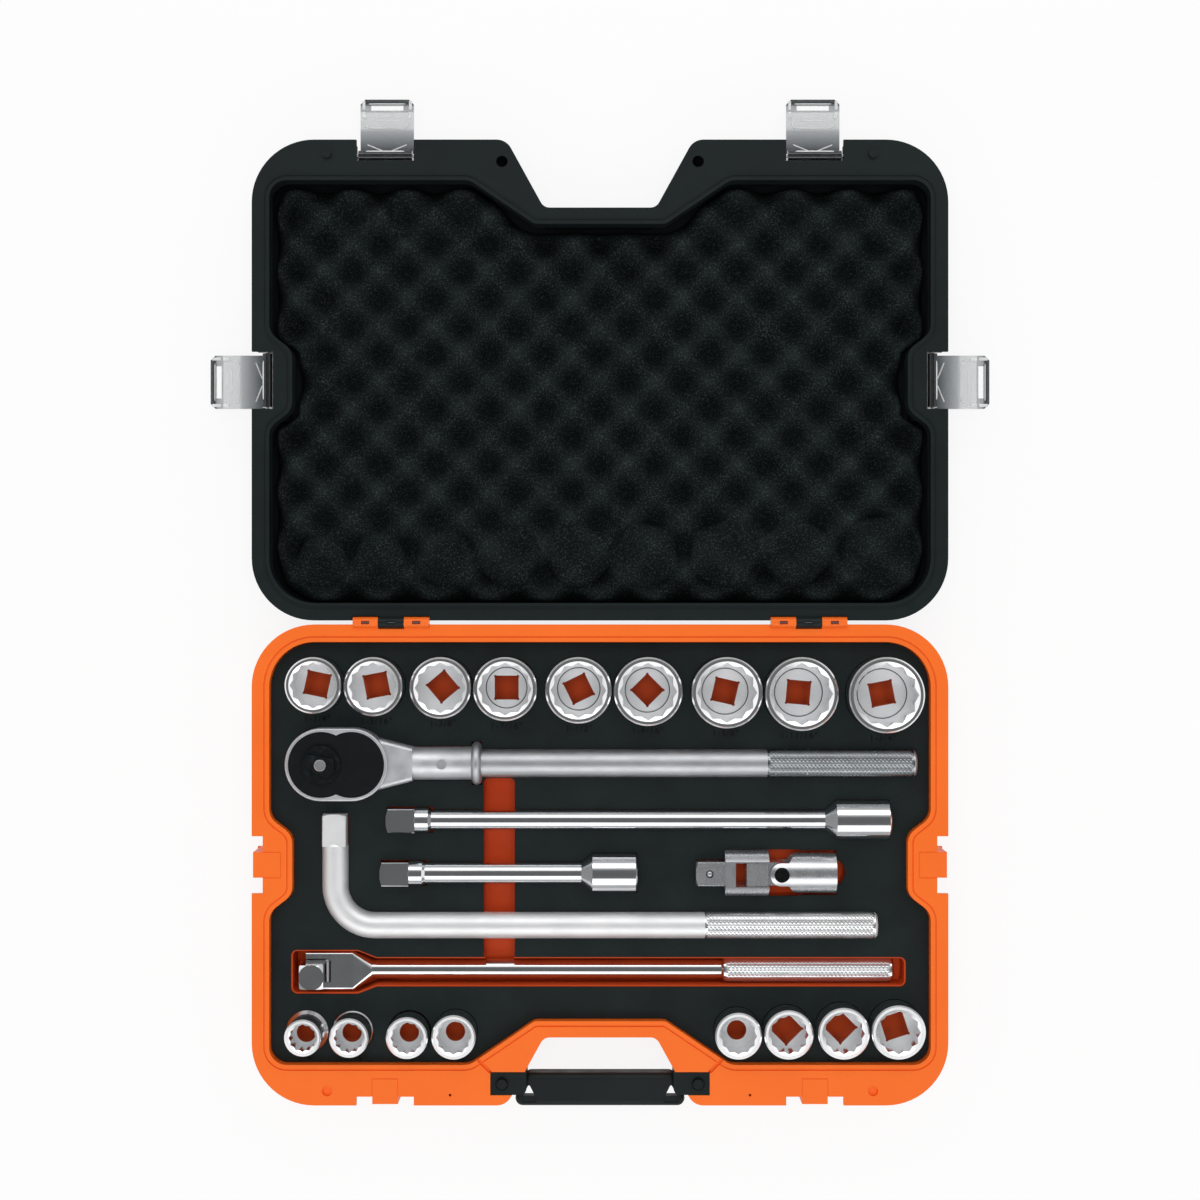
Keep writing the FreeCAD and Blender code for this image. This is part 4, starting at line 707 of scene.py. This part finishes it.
floor_reach = 6.0
floor_drop = 0.0006          # below the case
floor_steps = 9
floor_white = 0.85           # share of plain white in the floor; the rest takes the shadow
soft_level = 0.5             # of the tent's light on what isn't a mirror
tent_level = 1.5             # of the tent's brightest band, in a mirror
tent_sides = 0.6             # level of the sides to that of the front and back
tent_bands = (               # height of a direction, 0 level and 1 straight up, and the level there
    (0.0, 0.33), (0.38, 0.33), (0.45, 1.0), (0.69, 1.0), (0.74, 0.45), (0.86, 0.34), (0.92, 0.11),
    (1.0, 0.09))
white = (1.0, 1.0, 1.0, 1.0)


def floor():
    """Pale seamless floor: a flat square grid, white where it is seen directly, in a mirror or through
    clear plastic, that keeps a soft shadow."""
    material, tree, _ = new_material("pale_paper_floor")
    path = add(tree, "LightPath").outputs
    either = add(tree, "Math", {0: path["Is Camera Ray"], 1: path["Is Glossy Ray"]}, operation="MAXIMUM")
    seen = add(tree, "Math", {0: either.outputs[0], 1: path["Is Transmission Ray"]}, operation="MAXIMUM")
    share = add(tree, "Math", {0: seen.outputs[0], 1: floor_white}, operation="MULTIPLY").outputs[0]
    paper = add(tree, "BsdfDiffuse", {"Color": colour("F4F4F4")}).outputs["BSDF"]
    plain = add(tree, "Emission", {"Color": white, "Strength": 1.0}).outputs["Emission"]
    mixed = add(tree, "MixShader", {0: share, 1: paper, 2: plain}).outputs[0]
    add(tree, "OutputMaterial", {"Surface": mixed})
    steps = np.linspace(-floor_reach, floor_reach, floor_steps)
    x, y = np.meshgrid(steps, steps)
    points = np.stack([x, y, np.full_like(x, -floor_drop)], -1).reshape(-1, 3)
    mesh = bpy.data.meshes.new("floor")
    mesh.from_pydata(points.tolist(), [], grid_faces(floor_steps, floor_steps).tolist())
    mesh.materials.append(material)
    made = bpy.data.objects.new("floor", mesh)
    bpy.context.scene.collection.objects.link(made)


def studio_world():
    """White to the camera; metal sees a white tent all round, greyer at the foot and the crown, with the
    dark of the lens at the very top, and dimmer at both sides."""
    world = bpy.data.worlds.new("studio")
    bpy.context.scene.world = world
    world.use_nodes = True
    tree = world.node_tree
    tree.nodes.clear()
    direction = add(tree, "TexCoord").outputs["Generated"]
    axes = add(tree, "SeparateXYZ", {0: direction}).outputs
    tent = add(tree, "ValToRGB", {"Fac": axes["Z"]})
    lay_stops(tent.color_ramp, [(height, (level, level, level, 1)) for height, level in tent_bands])
    sideways = add(tree, "Math", {0: axes["X"]}, operation="ABSOLUTE").outputs[0]
    fall = add(tree, "MapRange", {
        "Value": sideways, "From Min": 0.0, "From Max": 1.0,
        "To Min": tent_level, "To Max": tent_level * tent_sides}).outputs["Result"]
    path = add(tree, "LightPath").outputs
    soft = add(tree, "Background", {"Color": white, "Strength": soft_level}).outputs[0]
    studio = add(tree, "Background", {"Color": tent.outputs["Color"], "Strength": fall}).outputs[0]
    plain = add(tree, "Background", {"Color": white, "Strength": 1.0}).outputs[0]
    mirrored = add(tree, "MixShader", {0: path["Is Glossy Ray"], 1: soft, 2: studio}).outputs[0]
    rays = {0: path["Is Camera Ray"], 1: path["Is Transmission Ray"]}
    seen = add(tree, "Math", rays, operation="MAXIMUM")
    mixed = add(tree, "MixShader", {0: seen.outputs[0], 1: mirrored, 2: plain}).outputs[0]
    add(tree, "OutputWorld", {"Surface": mixed})


def softbox(name, size, watts, place, tilt):
    """Rectangular lamp, by its width and depth, that faces down and is tilted about X by degrees."""
    lamp = bpy.data.lights.new(name, "AREA")
    lamp.shape = "RECTANGLE"
    lamp.size, lamp.size_y = size
    lamp.energy = watts
    made = bpy.data.objects.new(name, lamp)
    made.location = place
    made.rotation_euler = (math.radians(tilt), 0, 0)
    bpy.context.scene.collection.objects.link(made)
    return made


long_box = (2.6, 0.8)
long_box_watts = 8.0
long_box_off = 1.35          # fore or aft of the lens
long_box_up = 1.55
long_box_tilt = 42           # degrees
overhead_box = (1.2, 1.2)
overhead_watts = 18.0
overhead_up = 2.4


def softboxes(centre):
    """Two long softboxes tilted down fore and aft, and one above the lens that reaches into the sockets
    but stays out of the mirrors."""
    front = (0, centre - long_box_off, long_box_up)
    back = (0, centre + long_box_off, long_box_up)
    softbox("front_softbox", long_box, long_box_watts, front, long_box_tilt)
    softbox("back_softbox", long_box, long_box_watts, back, -long_box_tilt)
    above = softbox("overhead_softbox", overhead_box, overhead_watts, (0, centre, overhead_up), 0)
    above.visible_glossy = False


# Camera, in metres

view_centre_y = 0.212        # the point below the lens
lens_height = 1.556
frame_width = 0.96           # of the view, at the height of the rims
rim_height = 0.056
sensor_width = 36.0          # millimetres


def camera():
    """Lens straight above the open case, its focal length from the width of the view at the rims."""
    data = bpy.data.cameras.new("overhead_camera")
    data.sensor_width = sensor_width
    data.lens = sensor_width * (lens_height - rim_height) / frame_width
    made = bpy.data.objects.new("overhead_camera", data)
    made.location = (0, view_centre_y, lens_height)
    bpy.context.scene.collection.objects.link(made)
    bpy.context.scene.camera = made


floor()
studio_world()
softboxes(view_centre_y)
camera()
bpy.context.scene.view_settings.view_transform = "Standard"
